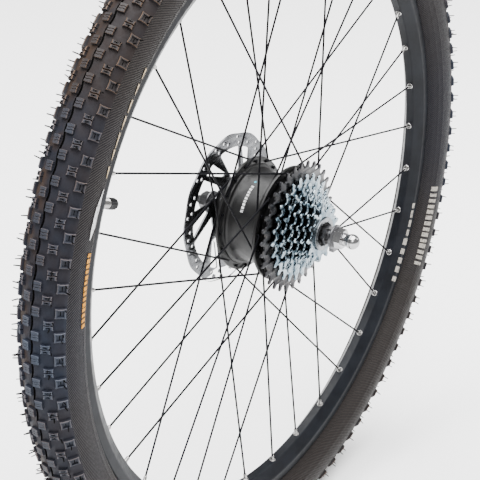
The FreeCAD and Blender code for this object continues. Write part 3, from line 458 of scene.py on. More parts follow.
MATERIALS = {
    # The tread band's strong brown towards the brake side is painted warm light.
    "tread_band": tread_rubber("tread_band", (0.0085, 0.012, 0.021), (0.0105, 0.0085, 0.0092),
                               (0.04, 0.022, 0.011), 0.6, 0.65),
    "tread": tread_rubber("tread_rubber", (0.0085, 0.012, 0.021), (0.0095, 0.0085, 0.010),
                          (0.036, 0.02, 0.01), 0.6),
    # Block chamfers: far lighter than the rubber, a painted highlight along the edges.
    "tread_edge": tread_rubber("tread_edge", (0.055, 0.068, 0.092), (0.07, 0.046, 0.032),
                               (0.12, 0.064, 0.03), 0.42, 0.25),
    # Block tops: lighter than the sides, a painted sheen of the light on them; their lower
    # roughness is the polish.
    "tread_top": tread_rubber("tread_top", (0.022, 0.030, 0.046), (0.020, 0.0175, 0.018),
                              (0.042, 0.028, 0.019), 0.45, 0.25),
    # Near-black rubber: painted shade in the crown groove and the slits; the hairs take it too.
    "groove": paint("tread_groove", (0.002, 0.002, 0.002), (0.004, 0.004, 0.004), 0.7, 0.2,
                    specular=0.02),
    "casing": ribbed_rubber(),
    "mark_orange": print_ink("mark_orange", (0.24, 0.08, 0.0), (0.56, 0.235, 0.0)),
    "mark_teal": print_ink("mark_teal", (0.01, 0.16, 0.24), (0.02, 0.34, 0.48)),
    "mark_tan": print_ink("mark_tan", (0.16, 0.12, 0.08), (0.45, 0.35, 0.22)),
    "mark_white": print_ink("mark_white", (0.2, 0.2, 0.2), (0.62, 0.62, 0.62)),
    "mark_pale": print_ink("mark_pale", (0.08, 0.075, 0.07), (0.27, 0.25, 0.22)),
    "rim": paint("black_anodised", (0.004, 0.0045, 0.006), (0.007, 0.008, 0.0105), 0.36, 0.1,
                 specular=0.1),
    "hub": paint("black_satin_paint", (0.0045, 0.0045, 0.0050), (0.0060, 0.0058, 0.0058), 0.38,
                 0.12, specular=0.28),
    "spoke": paint("black_spoke", (0.002, 0.002, 0.003), (0.004, 0.004, 0.005), 0.45, 0.1,
                   specular=0.04),
    "plastic": paint("black_plastic", (0.004, 0.004, 0.0045), (0.008, 0.008, 0.009), 0.5, 0.3,
                     specular=0.15),
    "rubber": paint("black_rubber", (0.008, 0.008, 0.009), (0.016, 0.015, 0.015), 0.62, 0.4,
                    specular=0.2),
    "tube": paint("tube_rubber", (0.012, 0.012, 0.013), (0.03, 0.03, 0.03), 0.6, 0.3, sheen=0.2),
    "tape": paint("rim_tape", (0.25, 0.12, 0.02), (0.4, 0.2, 0.04), 0.5, 0.3),
    "nylon": paint("gear_nylon", (0.52, 0.5, 0.42), (0.68, 0.66, 0.58), 0.42, 0.15),
    "magnet": metal("magnet_nickel", (0.45, 0.45, 0.43), (0.66, 0.66, 0.63), 0.22),
    "disc": metal("disc_steel", (0.1, 0.1025, 0.108), (0.155, 0.158, 0.165), 0.24,
                  turned=True, grain=0.2, stain_and_shade_tint=(0.08, 0.083, 0.09)),
    # Silver sprockets: their blue-teal tone and teal spots are painted shade, the tint of the
    # shade between them.
    "cog_silver": metal("cog_silver", (0.1, 0.14, 0.17), (0.33, 0.38, 0.41), 0.17, turned=True,
                        stain_and_shade_tint=(0.05, 0.1, 0.13)),
    "cog_black": metal("cog_black", (0.012, 0.012, 0.014), (0.03, 0.03, 0.032), 0.3,
                       stain_and_shade_tint=(0.05, 0.047, 0.045)),
    "chrome": metal("polished_chrome", (0.26, 0.26, 0.27), (0.42, 0.42, 0.42), 0.1),
    "zinc": metal("zinc_plate", (0.13, 0.14, 0.15), (0.26, 0.27, 0.28), 0.28),
    "nipple": metal("nickel_plate", (0.24, 0.235, 0.23), (0.4, 0.39, 0.38), 0.26),
    "steel": metal("dark_steel", (0.06, 0.06, 0.063), (0.13, 0.13, 0.135), 0.3, turned=True),
    "race": metal("ground_steel", (0.34, 0.35, 0.37), (0.5, 0.51, 0.52), 0.17, turned=True),
    "alloy": metal("cast_alloy", (0.5, 0.5, 0.51), (0.68, 0.68, 0.69), 0.4, grain=0.3),
    "black_screw": metal("black_oxide", (0.03, 0.03, 0.032), (0.07, 0.07, 0.072), 0.35),
    "copper": lined_metal("copper_windings", 330.0, (0.36, 0.13, 0.05), (0.72, 0.33, 0.14),
                          (400.0, 0.25, 0.4), (0.6, 0.3), coat=0.6, coat_roughness=0.12),
    "lamination": lined_metal("laminations", 600.0, (0.2, 0.2, 0.21), (0.5, 0.5, 0.5),
                              (500.0, 0.35, 0.5), (0.5, 0.1)),
    "board": board(),
}


# ------------ carried-over CAD parts

CAD_FINISH = {
    "steel": "axle lock_nuts torque_washers left_axle_nut left_axle_spacer right_axle_spacer",
    "race": "planet_pins left_bearing_inner_race right_bearing_inner_race "
            "rotor_bearing_inner_race left_bearing_outer_race right_bearing_outer_race "
            "rotor_bearing_outer_race bearing_balls freehub_core freehub_pawls sun_gear "
            "freehub_body freehub_balls",
    "zinc": "one_way_clutch core_screws cluster_lock_ring",
    "chrome": "right_cap_nut",
    "rubber": "cable_gland left_shaft_seal freehub_seal",
    "alloy": "stator_hub planet_carrier rotor_bell",
    "lamination": "stator_core",
    "copper": "stator_windings",
    "board": "hall_sensor_board",
    "black_screw": "cover_screws disc_bolts",
    "nylon": "ring_gear planet_gear_1 planet_gear_2 planet_gear_3",
    "tape": "rim_tape",
    "tube": "inner_tube",
    "magnet": "rotor_magnets",
    "plastic": "sprocket_spacers",
}

# Carried-over parts that can be seen, by the width of their edge bevel in millimetres.
CAD_BEVEL = {
    0.35: "right_cap_nut left_axle_nut", 0.3: "lock_nuts cable_gland",
    0.2: "torque_washers right_axle_spacer left_axle_spacer",
    0.15: "disc_bolts cluster_lock_ring", 0.12: "cover_screws sprocket_spacers",
}


def finish_cad_parts():
    """Give each carried-over CAD part its material, and the visible ones softer edges."""
    for finish, names in CAD_FINISH.items():
        for name in names.split():
            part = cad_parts[name]
            part.data.materials.clear()
            part.data.materials.append(MATERIALS[finish])
    for width, names in CAD_BEVEL.items():
        for name in names.split():
            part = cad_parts[name]
            part.modifiers.new("weld", "WELD").merge_threshold = 0.002 * MM
            bevel = part.modifiers.new("edges", "BEVEL")
            bevel.width = width * MM
            bevel.segments = 2
            bevel.angle_limit = math.radians(35)
            bevel.harden_normals = True


# ------------ stage

FLOOR_DROP = 0.3717
CAMERA_AZIMUTH, CAMERA_HEIGHT, CAMERA_DISTANCE = -57.482, 25.112, 1.5153
CAMERA_PAN, CAMERA_TILT, CAMERA_LENS = 1.358, -0.806, 111.6


def place_camera():
    """Camera on a sphere round the wheel's centre, then panned and tilted a little."""
    azimuth, height = math.radians(CAMERA_AZIMUTH), math.radians(CAMERA_HEIGHT)
    back = Vector((math.sin(azimuth) * math.cos(height), -math.cos(azimuth) * math.cos(height),
                   math.sin(height)))
    right = Vector((math.cos(azimuth), math.sin(azimuth), 0))
    facing = Matrix((right, back.cross(right), back)).transposed()
    pan = Matrix.Rotation(math.radians(CAMERA_PAN), 3, "Z")
    tilt = Matrix.Rotation(math.radians(CAMERA_TILT), 3, pan @ right)
    data = bpy.data.cameras.new("camera")
    data.lens, data.sensor_width = CAMERA_LENS, 36.0
    data.clip_start, data.clip_end = 0.05, 50.0
    camera = put("camera", data)
    camera.matrix_world = Matrix.Translation(back * CAMERA_DISTANCE) @ (
        tilt @ pan @ facing).to_4x4()
    bpy.context.scene.camera = camera


def place_floor():
    """A wide pale floor under the tyre."""
    surface = Surface("pale_floor", specular=0.2)
    surface.colour(surface.mix(surface.noise(3.0), (0.93, 0.93, 0.93), (0.95, 0.95, 0.95)))
    surface.roughness(surface.noise(40.0), 0.7, 0.8)
    reach = 12000
    corners = [(-reach, -reach), (reach, -reach), (reach, reach), (-reach, reach)]
    floor = make_mesh("floor", [(x, y, -FLOOR_DROP / MM) for x, y in corners], [(0, 1, 2, 3)])
    floor.data.materials.append(surface.material)


def place_light(name, spot, size, power):
    """A square softbox that faces the wheel's centre; spot and size in metres."""
    data = bpy.data.lights.new(name, "AREA")
    data.shape, data.size, data.energy = "SQUARE", size, power
    light = put(name, data)
    light.location = spot
    light.rotation_mode = "QUATERNION"
    light.rotation_quaternion = (-Vector(spot)).to_track_quat("-Z", "Y")


def place_lights():
    world = bpy.data.worlds.new("studio")
    world.use_nodes = True
    background = world.node_tree.nodes["Background"]
    background.inputs["Color"].default_value = (1.0, 1.0, 1.0, 1.0)
    background.inputs["Strength"].default_value = 0.55
    bpy.context.scene.world = world
    place_light("overhead", (0.0, 0.0, 3.4), 4.5, 900.0)
    place_light("key", (-2.0, -1.6, 1.8), 1.2, 30.0)
    place_light("side", (1.8, -1.5, 1.0), 0.8, 12.0)


# ------------ tyre

TYRE_CENTRE, TYRE_RAD, TYRE_WALL = 341.0, 26.8, 1.8
BEAD_SEAT, FLANGE_TOP = 311.0, 317.0
KNOB_COUNT, KNOB_HIGH, KNOB_PHASE = 106, 3.5, 143.45
PITCH = 360.0 / KNOB_COUNT
TREAD_EDGE, BAND_RISE = 63.0, 0.6
GROOVE_DEEP, GROOVE_SWING = 1.6, 1.7
RIDGE_ANGLES, RIDGE_HIGH, RIDGE_HALF = (112.0, 126.0), 0.5, 2.5


def section_spot(radius, degrees):
    """(radius from the axle, y) of a point of the tyre's section."""
    angle = math.radians(degrees)
    return TYRE_CENTRE + radius * math.cos(angle), radius * math.sin(angle)


def carcass_line(turn):
    """Outer half of the tyre's section at one angle round the wheel: (radius, y, tone) points.

    Tone 0 is the ribbed sidewall, 1 the smooth tread band and 2 the groove along the crown,
    which swings from side to side between the middle blocks and is painted near-black as shade."""
    swing = GROOVE_SWING * math.cos(2 * math.pi * (turn - KNOB_PHASE) / PITCH)
    wall = [140 - 3.5 * k for k in range(21)] + [65.0]
    band = (TREAD_EDGE, 56, 49, 42, 35, 28, 21, 14, 9, 5)
    line = [(-angle, 0.0, 0) for angle in wall] + [(-angle, BAND_RISE, 1) for angle in band]
    for angle, drop, tone in ((-2.2, 0.0, 2), (-1.2, GROOVE_DEEP, 2), (1.2, GROOVE_DEEP, 2),
                              (2.2, 0.0, 1)):
        line.append((angle + swing, BAND_RISE - drop, tone))
    line += [(angle, BAND_RISE, 1 if angle < TREAD_EDGE else 0) for angle in reversed(band)]
    line += [(angle, 0.0, 0) for angle in reversed(wall)]
    result = []
    for angle, rise, tone in line:
        for ridge in RIDGE_ANGLES:
            rise += RIDGE_HIGH * max(0.0, 1.0 - abs(abs(angle) - ridge) / RIDGE_HALF)
        result.append((*section_spot(TYRE_RAD + rise, angle), tone))
    return result


def make_casing():
    """Tyre carcass: tread band with a winding groove, ribbed sidewalls, and beads."""
    foot = [(FLANGE_TOP + 0.5, 9.7, 0), (BEAD_SEAT + 3.5, 10.0, 0), (BEAD_SEAT + 0.15, 10.0, 0),
            (BEAD_SEAT + 0.15, 6.9, 0), (BEAD_SEAT + 1.5, 6.0, 0), (FLANGE_TOP + 0.5, 7.6, 0)]
    lining = [(*section_spot(TYRE_RAD - TYRE_WALL, 143 - 13 * k), 0) for k in range(23)]
    other = [(r, -y, tone) for r, y, tone in reversed(foot)]
    columns = KNOB_COUNT * 6
    lines = [carcass_line(360.0 * k / columns) + foot + lining + other for k in range(columns)]
    casing = turned("tyre_casing", [[(r, y) for r, y, tone in line] for line in lines],
                    TYRE_CENTRE, 50.0, [tone for line in lines for r, y, tone in line])
    dress(casing, "wheel", "casing tread_band groove", "tyre")


def on_tyre(row, turn, across, along, radius):
    """Point of a block: across and along its foot in mm, at a radius of the tyre's section."""
    r, y = section_spot(radius, row + math.degrees(across / TYRE_RAD))
    reach = section_spot(TYRE_RAD, row)[0]
    return polar(r, y, turn + math.degrees(along / reach))


def block_rings(outline, high, chamfer, pocket):
    """Rings of a tread block over its outline of (across, along), as (across, along, height).

    pocket is None or the (share of the outline, depth) of a sunken middle."""
    def ring(share, height):
        return [(a * share, b * share, height) for a, b in outline]

    size = max(math.hypot(a, b) for a, b in outline)
    top = 0.97 - chamfer / size
    rings = [ring(1.16, -0.5), ring(1.05, 0.9), ring(0.98, high - 0.6), ring(top, high)]
    if pocket:
        share, depth = pocket
        rings += [ring(share + 0.05, high), ring(share, high - depth)]
    return rings


def ring_faces(rings, base):
    """Faces that join rings of the same size, with the last one capped, and their tones.

    Tone 0 is a side, 1 the chamfered edge, painted lighter as a highlight, and 2 the top, painted
    lighter as sheen."""
    size, walls = len(rings[0]), len(rings) - 1
    faces = ring_walls(len(rings), size, base)
    tones = [tone for tone in (0, 0, 1, 2, 0)[:walls] for _ in range(size)]
    faces.append(tuple(base + walls * size + i for i in range(size)))
    return faces, tones + [2]


# Outlines as (across, along): blocks with hollow sides, bars whose touching edges zigzag, and
# the slit in a sunken middle, drawn as a dark face of painted shade.
CUSHION = [(-4.5, -4.5), (-2.2, -4.0), (2.2, -4.0), (4.5, -4.5), (4.1, -2.0), (4.1, 2.0),
           (4.5, 4.5), (2.2, 4.0), (-2.2, 4.0), (-4.5, 4.5), (-4.1, 2.0), (-4.1, -2.0)]
LOBE = [(-3.7, 0.4), (-1.3, 0.1), (1.3, 0.7), (3.7, 0.4), (3.4, 2.0), (3.9, 4.1), (1.6, 3.4),
        (-1.6, 3.4), (-3.9, 4.1), (-3.4, 2.0)]
MIDDLE_BAR = [(-3.1, -0.9), (-1.1, -1.3), (1.1, -0.6), (3.1, -1.0), (3.2, 0.9), (1.1, 1.3),
              (-1.1, 0.6), (-3.2, 1.0)]
END_BAR = [(-3.2, 1.35), (-1.1, 0.95), (1.1, 1.65), (3.2, 1.25), (3.4, 3.8), (0.0, 4.1),
           (-3.4, 3.9)]
SIPE = [(-0.35, -1.9), (0.35, -1.9), (0.35, 1.9), (-0.35, 1.9)]
CENTRE_ROW, MIDDLE_ROW, OUTER_ROW = 9.6, 30.0, 51.0
MIDDLE_SWAY = 2.2
FAR_SHOULDER = (1.15, 1.12)


def tread_plans():
    """Every row: section angle, share of a pitch it is set on, outlines, chamfer and pocket."""
    other_bar, other_lobe = [[(-a, -b) for a, b in shape] for shape in (END_BAR, LOBE)]
    middle, lobes = [MIDDLE_BAR, END_BAR, other_bar], [LOBE, other_lobe]
    far = [(a * FAR_SHOULDER[0], b * FAR_SHOULDER[1]) for a, b in CUSHION]
    plans = []
    for side, first, shoulder in ((-1, 0.0, CUSHION), (1, 0.5, far)):
        plans.append((CENTRE_ROW * side, first, middle, 0.35, None))
        plans.append((MIDDLE_ROW * side, 0.5 - first, lobes, 0.75, (0.42, 1.0)))
        plans.append((OUTER_ROW * side, first, [shoulder], 0.75, (0.56, 1.7)))
    return plans


def make_tread():
    """Six rows of blocks, the left three set half a pitch from the right three."""
    verts, faces, tones = [], [], []
    plans = tread_plans()
    for turn in range(KNOB_COUNT):
        for row, offset, outlines, chamfer, pocket in plans:
            angle = KNOB_PHASE + (turn + offset) * PITCH
            if abs(row) == MIDDLE_ROW:
                row += MIDDLE_SWAY if turn % 2 else -MIDDLE_SWAY
            for outline in outlines:
                mid_across = sum(a for a, b in outline) / len(outline)
                mid_along = sum(b for a, b in outline) / len(outline)

                def place(across, along, height):
                    return on_tyre(row, angle, across + mid_across, along + mid_along,
                                   TYRE_RAD + height)

                rings = block_rings([(a - mid_across, b - mid_along) for a, b in outline],
                                    KNOB_HIGH, chamfer, pocket)
                more, more_tones = ring_faces(rings, len(verts))
                faces += more
                tones += more_tones
                verts += [place(*spot) for ring in rings for spot in ring]
                if pocket:
                    # The slit is a dark face laid on the pocket floor: painted shade.
                    faces.append(tuple(len(verts) + i for i in range(4)))
                    tones.append(3)
                    verts += [place(a, b, KNOB_HIGH - pocket[1] + 0.05) for a, b in SIPE]
    tread = make_mesh("tyre_tread", verts, faces, None, 40.0, tones)
    dress(tread, "wheel", "tread tread_edge tread_top groove", "tyre")


def make_hairs():
    """Moulding hairs that stand on the outer rows of blocks."""
    hair = lathe_data([(0.6, -0.3), (0.55, 2.6), (0.45, 4.9), (0.0, 5.2)], 6)
    places = []
    outer = [(row, offset) for row, offset, *_ in tread_plans() if abs(row) != CENTRE_ROW]
    for turn in range(KNOB_COUNT):
        for row, offset in outer:
            for spot in (-2.9, 2.9):
                if CHANCE.random() > 0.8:
                    continue
                angle = KNOB_PHASE + (turn + offset) * PITCH
                across = math.copysign(CHANCE.uniform(-3.4, 4.2), row)
                foot = on_tyre(row, angle, across, spot, TYRE_RAD + KNOB_HIGH)
                tip = on_tyre(row, angle, across, spot, TYRE_RAD + KNOB_HIGH + 4.0)
                lean = Vector([CHANCE.uniform(-0.8, 0.8) for _ in range(3)])
                length = CHANCE.uniform(0.75, 1.15)
                places.append(aim(foot, tip - foot + lean) @ Matrix.Scale(length, 4))
    hairs = copies("tyre_hairs", *hair, places, sharp=80.0)
    dress(hairs, "wheel", "groove", "tyre")


def on_section(radius, first, last, start, end):
    """A strip of the tyre's surface between two turns, as points and faces.

    first and last are its (low, high) section angles where it starts and ends."""
    columns = []
    for share in [i / 8 for i in range(9)]:
        low, high = [a + (b - a) * share for a, b in zip(first, last)]
        columns.append([polar(*section_spot(radius, low + (high - low) * k / 3),
                              start + (end - start) * share) for k in range(4)])
    return strip(columns)


MARK_RISE = 0.6
# Rows of printed bars: first and last turn, count, section angles at a bar's two ends, and the
# least and most share of its step that a bar fills.
MARK_ROWS = {
    "orange": (162.6, 174.0, 14, (-112.0, -99.0), (-112.0, -99.0), 0.55, 0.78),
    "pale": (330.0, 347.0, 14, (-124.0, -102.0), (-124.0, -102.0), 0.55, 0.78),
    "tan": (135.0, 152.5, 7, (-113.0, -104.0), (-111.0, -108.0), 0.6, 0.95),
}
# The white patch: (low, high) section angles at each turn along it.
PATCH = (((-113.0, -109.0), 153.3), ((-112.0, -98.0), 156.0), ((-108.0, -95.0), 158.9),
         ((-98.0, -96.0), 160.6))


def make_tyre_marks():
    """Plain printed marks on the sidewalls, with no lettering."""
    proud = TYRE_RAD + MARK_RISE
    for colour, (start, end, count, head, tip, least, most) in MARK_ROWS.items():
        step = (end - start) / count
        bars = []
        for k in range(count):
            begin = start + k * step
            wide = step * CHANCE.uniform(least, most)
            bars.append(on_section(proud, head, tip, begin, begin + wide))
        marks = make_mesh("tyre_marks_" + colour, *join(bars))
        dress(marks, "wheel", "mark_" + colour, "tyre")
    patch = [on_section(proud, first, last, start, end)
             for (first, start), (last, end) in zip(PATCH, PATCH[1:])]
    marks = make_mesh("tyre_marks_white", *join(patch))
    dress(marks, "wheel", "mark_white", "tyre")


# ------------ rim

BED_RAD, BED_HALF, RIM_WIDE, WALL_CORNER = 295.5, 4.6, 12.5, 308.0
VALVE_ANGLE = 155.94
LACE_PHASE, SPOKE_COUNT, STAGGER = 0.94, 36, 0.8


def make_rim():
    """Rim with rounded edges; the hollow between its walls isn't drawn."""
    seat = BEAD_SEAT
    half = [
        (seat - 4.5, 3.6, 0.4), (seat - 3.6, 5.0, 0.4), (seat, 7.0, 0.5),
        (seat - 0.4, RIM_WIDE - 1.9, 0.4), (FLANGE_TOP - 2.6, RIM_WIDE - 1.7, 0.4),
        (FLANGE_TOP - 1.6, RIM_WIDE - 2.2, 0.3), (FLANGE_TOP - 0.4, RIM_WIDE - 2.0, 0.3),
        (FLANGE_TOP, RIM_WIDE - 1.2, 0.4), (FLANGE_TOP - 0.3, RIM_WIDE - 0.3, 0.4),
        (FLANGE_TOP - 1.2, RIM_WIDE, 0.4), (WALL_CORNER, RIM_WIDE, 1.5),
        (WALL_CORNER - 1.2, RIM_WIDE - 0.4, 1.0), (BED_RAD + 1.0, BED_HALF + 0.7, 1.2),
        (BED_RAD, BED_HALF - 0.4, 0.8)]
    other = [(r, -y, fillet) for r, y, fillet in reversed(half)]
    rim = lathe("rim", rounded(half + other), 360)
    dress(rim, "wheel", "rim", "rim")


# Printed bars on the rim: lines of (radius, depth) over the wall, long ones and then short ones.
RIM_MARK_START, RIM_MARK_STEP, LONG_MARKS, SHORT_MARKS = 325.0, 2.1, 5, 4
LONG_LINE = [(304.5, 10.9), (307.8, 12.65), (311.5, 12.65)]
SHORT_LINE = [(305.8, 11.75), (307.8, 12.65), (310.3, 12.65)]


def make_rim_marks():
    """Plain printed bars on the rim's right wall, with no lettering."""
    bars = []
    for k, line in enumerate([LONG_LINE] * LONG_MARKS + [SHORT_LINE] * SHORT_MARKS):
        start = RIM_MARK_START + RIM_MARK_STEP * k
        wide = CHANCE.uniform(1.0, 1.6)
        bars.append(strip([[polar(r, -y, start + wide * i / 3) for r, y in line]
                           for i in range(4)]))
    marks = make_mesh("rim_marks", *join(bars))
    dress(marks, "wheel", "mark_pale", "rim")


def make_eyelets():
    """Pressed rings round the spoke holes, standing a little out of the rim's bed."""
    outline = rounded([(2.25, 0.6, 0), (2.25, -0.6, 0.2), (2.9, -0.75, 0.3), (3.5, -0.15, 0.2),
                       (3.55, 0.3, 0)], closed=False)
    places = []
    for k in range(SPOKE_COUNT):
        angle = LACE_PHASE + 10.0 * k
        side = -1 if k % 2 else 1
        places.append(aim(polar(BED_RAD, side * STAGGER, angle), polar(1, 0, angle)))
    eyelets = copies("nipple_eyelets", *lathe_data(outline, 24), places, sharp=50.0)
    dress(eyelets, "wheel", "nipple", "nipple_eyelets")


# ------------ spokes

HOLE_CIRCLE, SPOKE_RAD = 55.5, 1.0
LEFT_FLANGE, RIGHT_FLANGE = (26.0, 29.0), (14.5, 18.0)


def spoke_path(hole_angle, rim_angle, flange, side, outboard):
    """Head, elbow and end of a spoke."""
    near, far = flange
    head_y, bend_y = near - 0.9, far + 2.25
    if not outboard:
        head_y, bend_y = far + 0.9, near - 1.2
    head = polar(HOLE_CIRCLE, side * head_y, hole_angle)
    elbow = polar(HOLE_CIRCLE, side * bend_y, hole_angle)
    target = polar(BED_RAD + 0.6, side * STAGGER, rim_angle)
    return head, elbow, target + (target - elbow).normalized() * 3.0


def sweep(points, radius):
    """A round tube along points, as vertices and faces, with its ends capped."""
    segments = 12
    verts, normal = [], None
    for i, here in enumerate(points):
        before, after = points[max(i - 1, 0)], points[min(i + 1, len(points) - 1)]
        tangent = (after - before).normalized()
        if normal is None:
            normal = tangent.orthogonal().normalized()
        normal = (normal - tangent * normal.dot(tangent)).normalized()
        side = tangent.cross(normal)
        for k in range(segments):
            angle = 2 * math.pi * k / segments
            verts.append(here + (normal * math.cos(angle) + side * math.sin(angle)) * radius)
    faces = ring_walls(len(points), segments)
    faces.append(tuple(range(segments)))
    faces.append(tuple(range((len(points) - 1) * segments, len(points) * segments)))
    return verts, faces


def spoke_mesh(head, elbow, end):
    """Wire with a bent elbow and a domed head."""
    leg = 1.5
    into, out = (head - elbow).normalized(), (end - elbow).normalized()
    start, stop = elbow + into * leg, elbow + out * leg
    path = [head] + bent(start, elbow, stop, 8) + [stop.lerp(end, k / 4) for k in range(1, 5)]
    dome, dome_faces = lathe_data(rounded([(0.9, -0.7, 0), (1.9, 0.3, 0.3), (1.6, 1.0, 0.5),
                                           (0.0, 1.15, 0)], closed=False), 16)
    place = aim(head, into)
    return join([sweep(path, SPOKE_RAD), ([place @ Vector(v) for v in dome], dome_faces)])


def nipple_mesh():
    """Nipple pointing along +Y to its head: a shank with four flats and a round head."""
    def flatted(angle, k, radius, flat):
        return min(radius, flat / max(abs(math.cos(angle)), abs(math.sin(angle))))

    stations = [(-10.4, 1.1, 9), (-10.4, 1.55, 9), (-10.0, 1.8, 9), (-9.4, 1.95, 1.62),
                (-5.4, 1.95, 1.62), (-4.8, 1.95, 9), (-1.6, 1.95, 9), (-1.4, 2.6, 9),
                (-0.5, 2.75, 9), (0.0, 2.3, 9), (0.0, 1.1, 9)]
    return stacked_rings(stations, 24, flatted)


def make_lacing():
    """Two sets of 18 spokes laced three-cross, and their nipples."""
    nipple_places = []
    for label, first, flange, side in (("left_spokes", 120.0, LEFT_FLANGE, 1),
                                       ("right_spokes", 130.0, RIGHT_FLANGE, -1)):
        wires = []
        for start, offset, outboard in ((first, 60.0, False), (first + 20.0, -60.0, True)):
            for k in range(9):
                rim_at = start + LACE_PHASE + 40.0 * k
                path = spoke_path(rim_at + offset, rim_at, flange, side, outboard)
                wires.append(spoke_mesh(*path))
                along = (path[2] - path[1]).normalized()
                nipple_places.append(aim(path[2] + along * 0.4, along))
        spokes = make_mesh(label, *join(wires), sharp=45.0)
        dress(spokes, "wheel", "spoke", label)
    nipples = copies("spoke_nipples", *nipple_mesh(), nipple_places, sharp=28.0)
    dress(nipples, "wheel", "nipple", "spoke_nipples")


# ------------ hub

BARREL_RAD, FLANGE_RAD, SHELL_WALL = 48.0, 59.5, 3.7
CORE_RAD = 53.0


def make_hub_shell():
    """Barrel of the hub, cut off at CORE_RAD, with a drilled flange at each end."""
    outline = rounded([
        (13.0, -18.5, 0.2), (BARREL_RAD - SHELL_WALL, -18.5, 1.0),
        (BARREL_RAD - SHELL_WALL, 29, 0.2), (57.5, 29, 0.2), (57.5, 26.0, 0),
        (52.7, 26.0, 0.3), (52.3, 24.2, 0.6), (49.6, 23.4, 1.0),
        (48.3, 21.6, 1.5), (48.0, 19.0, 2), (48.0, -7.5, 2), (48.3, -10.1, 1.5),
        (49.6, -11.9, 1.0), (52.3, -12.7, 0.6), (52.7, -14.5, 0.3), (57.5, -14.5, 0),
        (57.5, -18.0, 0.2), (48.0, -18.0, 1.0), (42.0, -21.5, 1.0), (13.0, -21.5, 0.2)])
    shell = lathe("hub_shell", [(min(r, CORE_RAD), y) for r, y in outline], 256)
    dress(shell, "wheel", "hub", "hub_shell")
    for label, flange, side, phase in (("left", LEFT_FLANGE, 1, 0.0),
                                       ("right", RIGHT_FLANGE, -1, 10.0)):
        holes = [circle(BARREL_RAD + 1.0, 180)]
        holes += [circle(1.3, 16, *flat(HOLE_CIRCLE, LACE_PHASE + phase + 20.0 * k))
                  for k in range(SPOKE_COUNT // 2)]
        low, high = sorted((side * flange[0], side * flange[1]))
        ring = plate(label + "_flange", circle(FLANGE_RAD, 300), holes, low, high, 0.45)
        dress(ring, "wheel", "hub", "hub_shell")


# Printed bars round the barrel, between two places along the axle, and the dot before them.
HUB_MARK_COUNT, HUB_MARK_START, HUB_MARK_STEP = 9, 117.0, 4.1
HUB_MARK_SPAN = (7.4, 10.4)
DOT_TURN, DOT_Y, DOT_TURN_REACH, DOT_RAD = 110.2, 9.5, 1.5, 1.3


def make_hub_marks():
    """A row of plain printed bars round the barrel, with no lettering, and a dot before it."""
    proud = BARREL_RAD + 0.06
    bars = []
    for k in range(HUB_MARK_COUNT):
        begin = HUB_MARK_START + HUB_MARK_STEP * k
        bars.append(strip([[polar(proud, y, begin + CHANCE.uniform(0.95, 1.0) * i)
                            for y in HUB_MARK_SPAN] for i in range(4)]))
    marks = make_mesh("hub_marks", *join(bars))
    dress(marks, "wheel", "mark_white", "hub_shell")
    edge = [polar(proud, DOT_Y + DOT_RAD * z, DOT_TURN + DOT_TURN_REACH * x)
            for x, z in circle(1.0, 16)]
    dot = make_mesh("hub_dot", edge, [tuple(range(16))])
    dress(dot, "wheel", "mark_teal", "hub_shell")


def make_left_cover():
    """Cover of the brake side, stepped down to the boss that carries the disc."""
    outline = rounded([
        (44.25, 27, 0), (44.25, 29, 0), (53, 29, 0.2), (53, 32.5, 1.3), (38, 32.5, 0.4),
        (36.5, 34, 1.0), (32.5, 36.5, 3.0), (28.3, 40, 3.0), (27.5, 43, 1.5), (27.5, 52, 0.6),
        (19, 52, 0), (19, 53.6, 0.3), (14.02, 53.6, 0.2), (14.02, 41.98, 0), (12.2, 41.98, 0),
        (12.2, 39.5, 0), (24.5, 39.5, 0), (29, 34, 0), (33, 30.5, 0), (40.5, 29.9, 0),
        (40.5, 27, 0)])
    cover = lathe("left_cover", outline, 192)
    dress(cover, "wheel", "hub", "left_cover")


# ------------ brake disc

DISC_LOW, DISC_HIGH, DISC_RAD, DISC_TRACK = 52.02, 53.8, 80.0, 15.0
WINDOW_FILLET = 2.2


def window(inner, start, wide_in, lean, wide_out, steps):
    """Outline of a slanted window up to the disc's track, with rounded corners.

    steps is the number of sides its inner and its outer edge are drawn with."""
    points = []
    edges = ((inner, start, wide_in, steps[0]),
             (DISC_RAD - DISC_TRACK, start + lean, -wide_out, steps[1]))
    for radius, middle, wide, count in edges:
        for k in range(count + 1):
            points.append((*flat(radius, middle - wide / 2 + wide * k / count),
                           WINDOW_FILLET if k in (0, count) else 0.0))
    return rounded(points)


def make_disc():
    """Brake disc: scalloped track with paired holes and slanted arms."""
    waves, depth, samples = 12, 1.6, 30 * 12
    outline = []
    for angle in [360.0 * k / samples for k in range(samples)]:
        dip = depth * (0.5 - 0.5 * math.cos(math.radians(waves * angle)))
        outline.append(flat(DISC_RAD - dip, angle))
    holes = [circle(19.05, 72)]
    for k in range(6):
        holes.append(window(31.5, 60 * k + 9, 26, 20, 30, (2, 5)))
        holes.append(window(40.0, 60 * k + 42, 9, 21, 13, (1, 2)))
        holes.append(circle(2.6, 20, *flat(22.0, 60 * k)))
    for k in range(24):
        places = ((69.0, 0.0), (75.2, 3.4)) if k % 2 else ((70.0, 1.5), (73.8, 7.2))
        holes += [circle(1.9, 20, *flat(radius, 15.0 * k + angle)) for radius, angle in places]
    disc = plate("brake_disc", outline, holes, DISC_LOW, DISC_HIGH, 0.22)
    dress(disc, "wheel", "disc", "brake_disc")


# ------------ sprockets

COG_TEETH = (32, 26, 22, 19, 17, 15, 13)
CHAIN_PITCH, ROLLER_SEAT, COG_THICK = 12.7, 4.05, 1.8
FIRST_COG_Y, COG_STEP, COG_BORE = -30.0, 5.0, 17.3


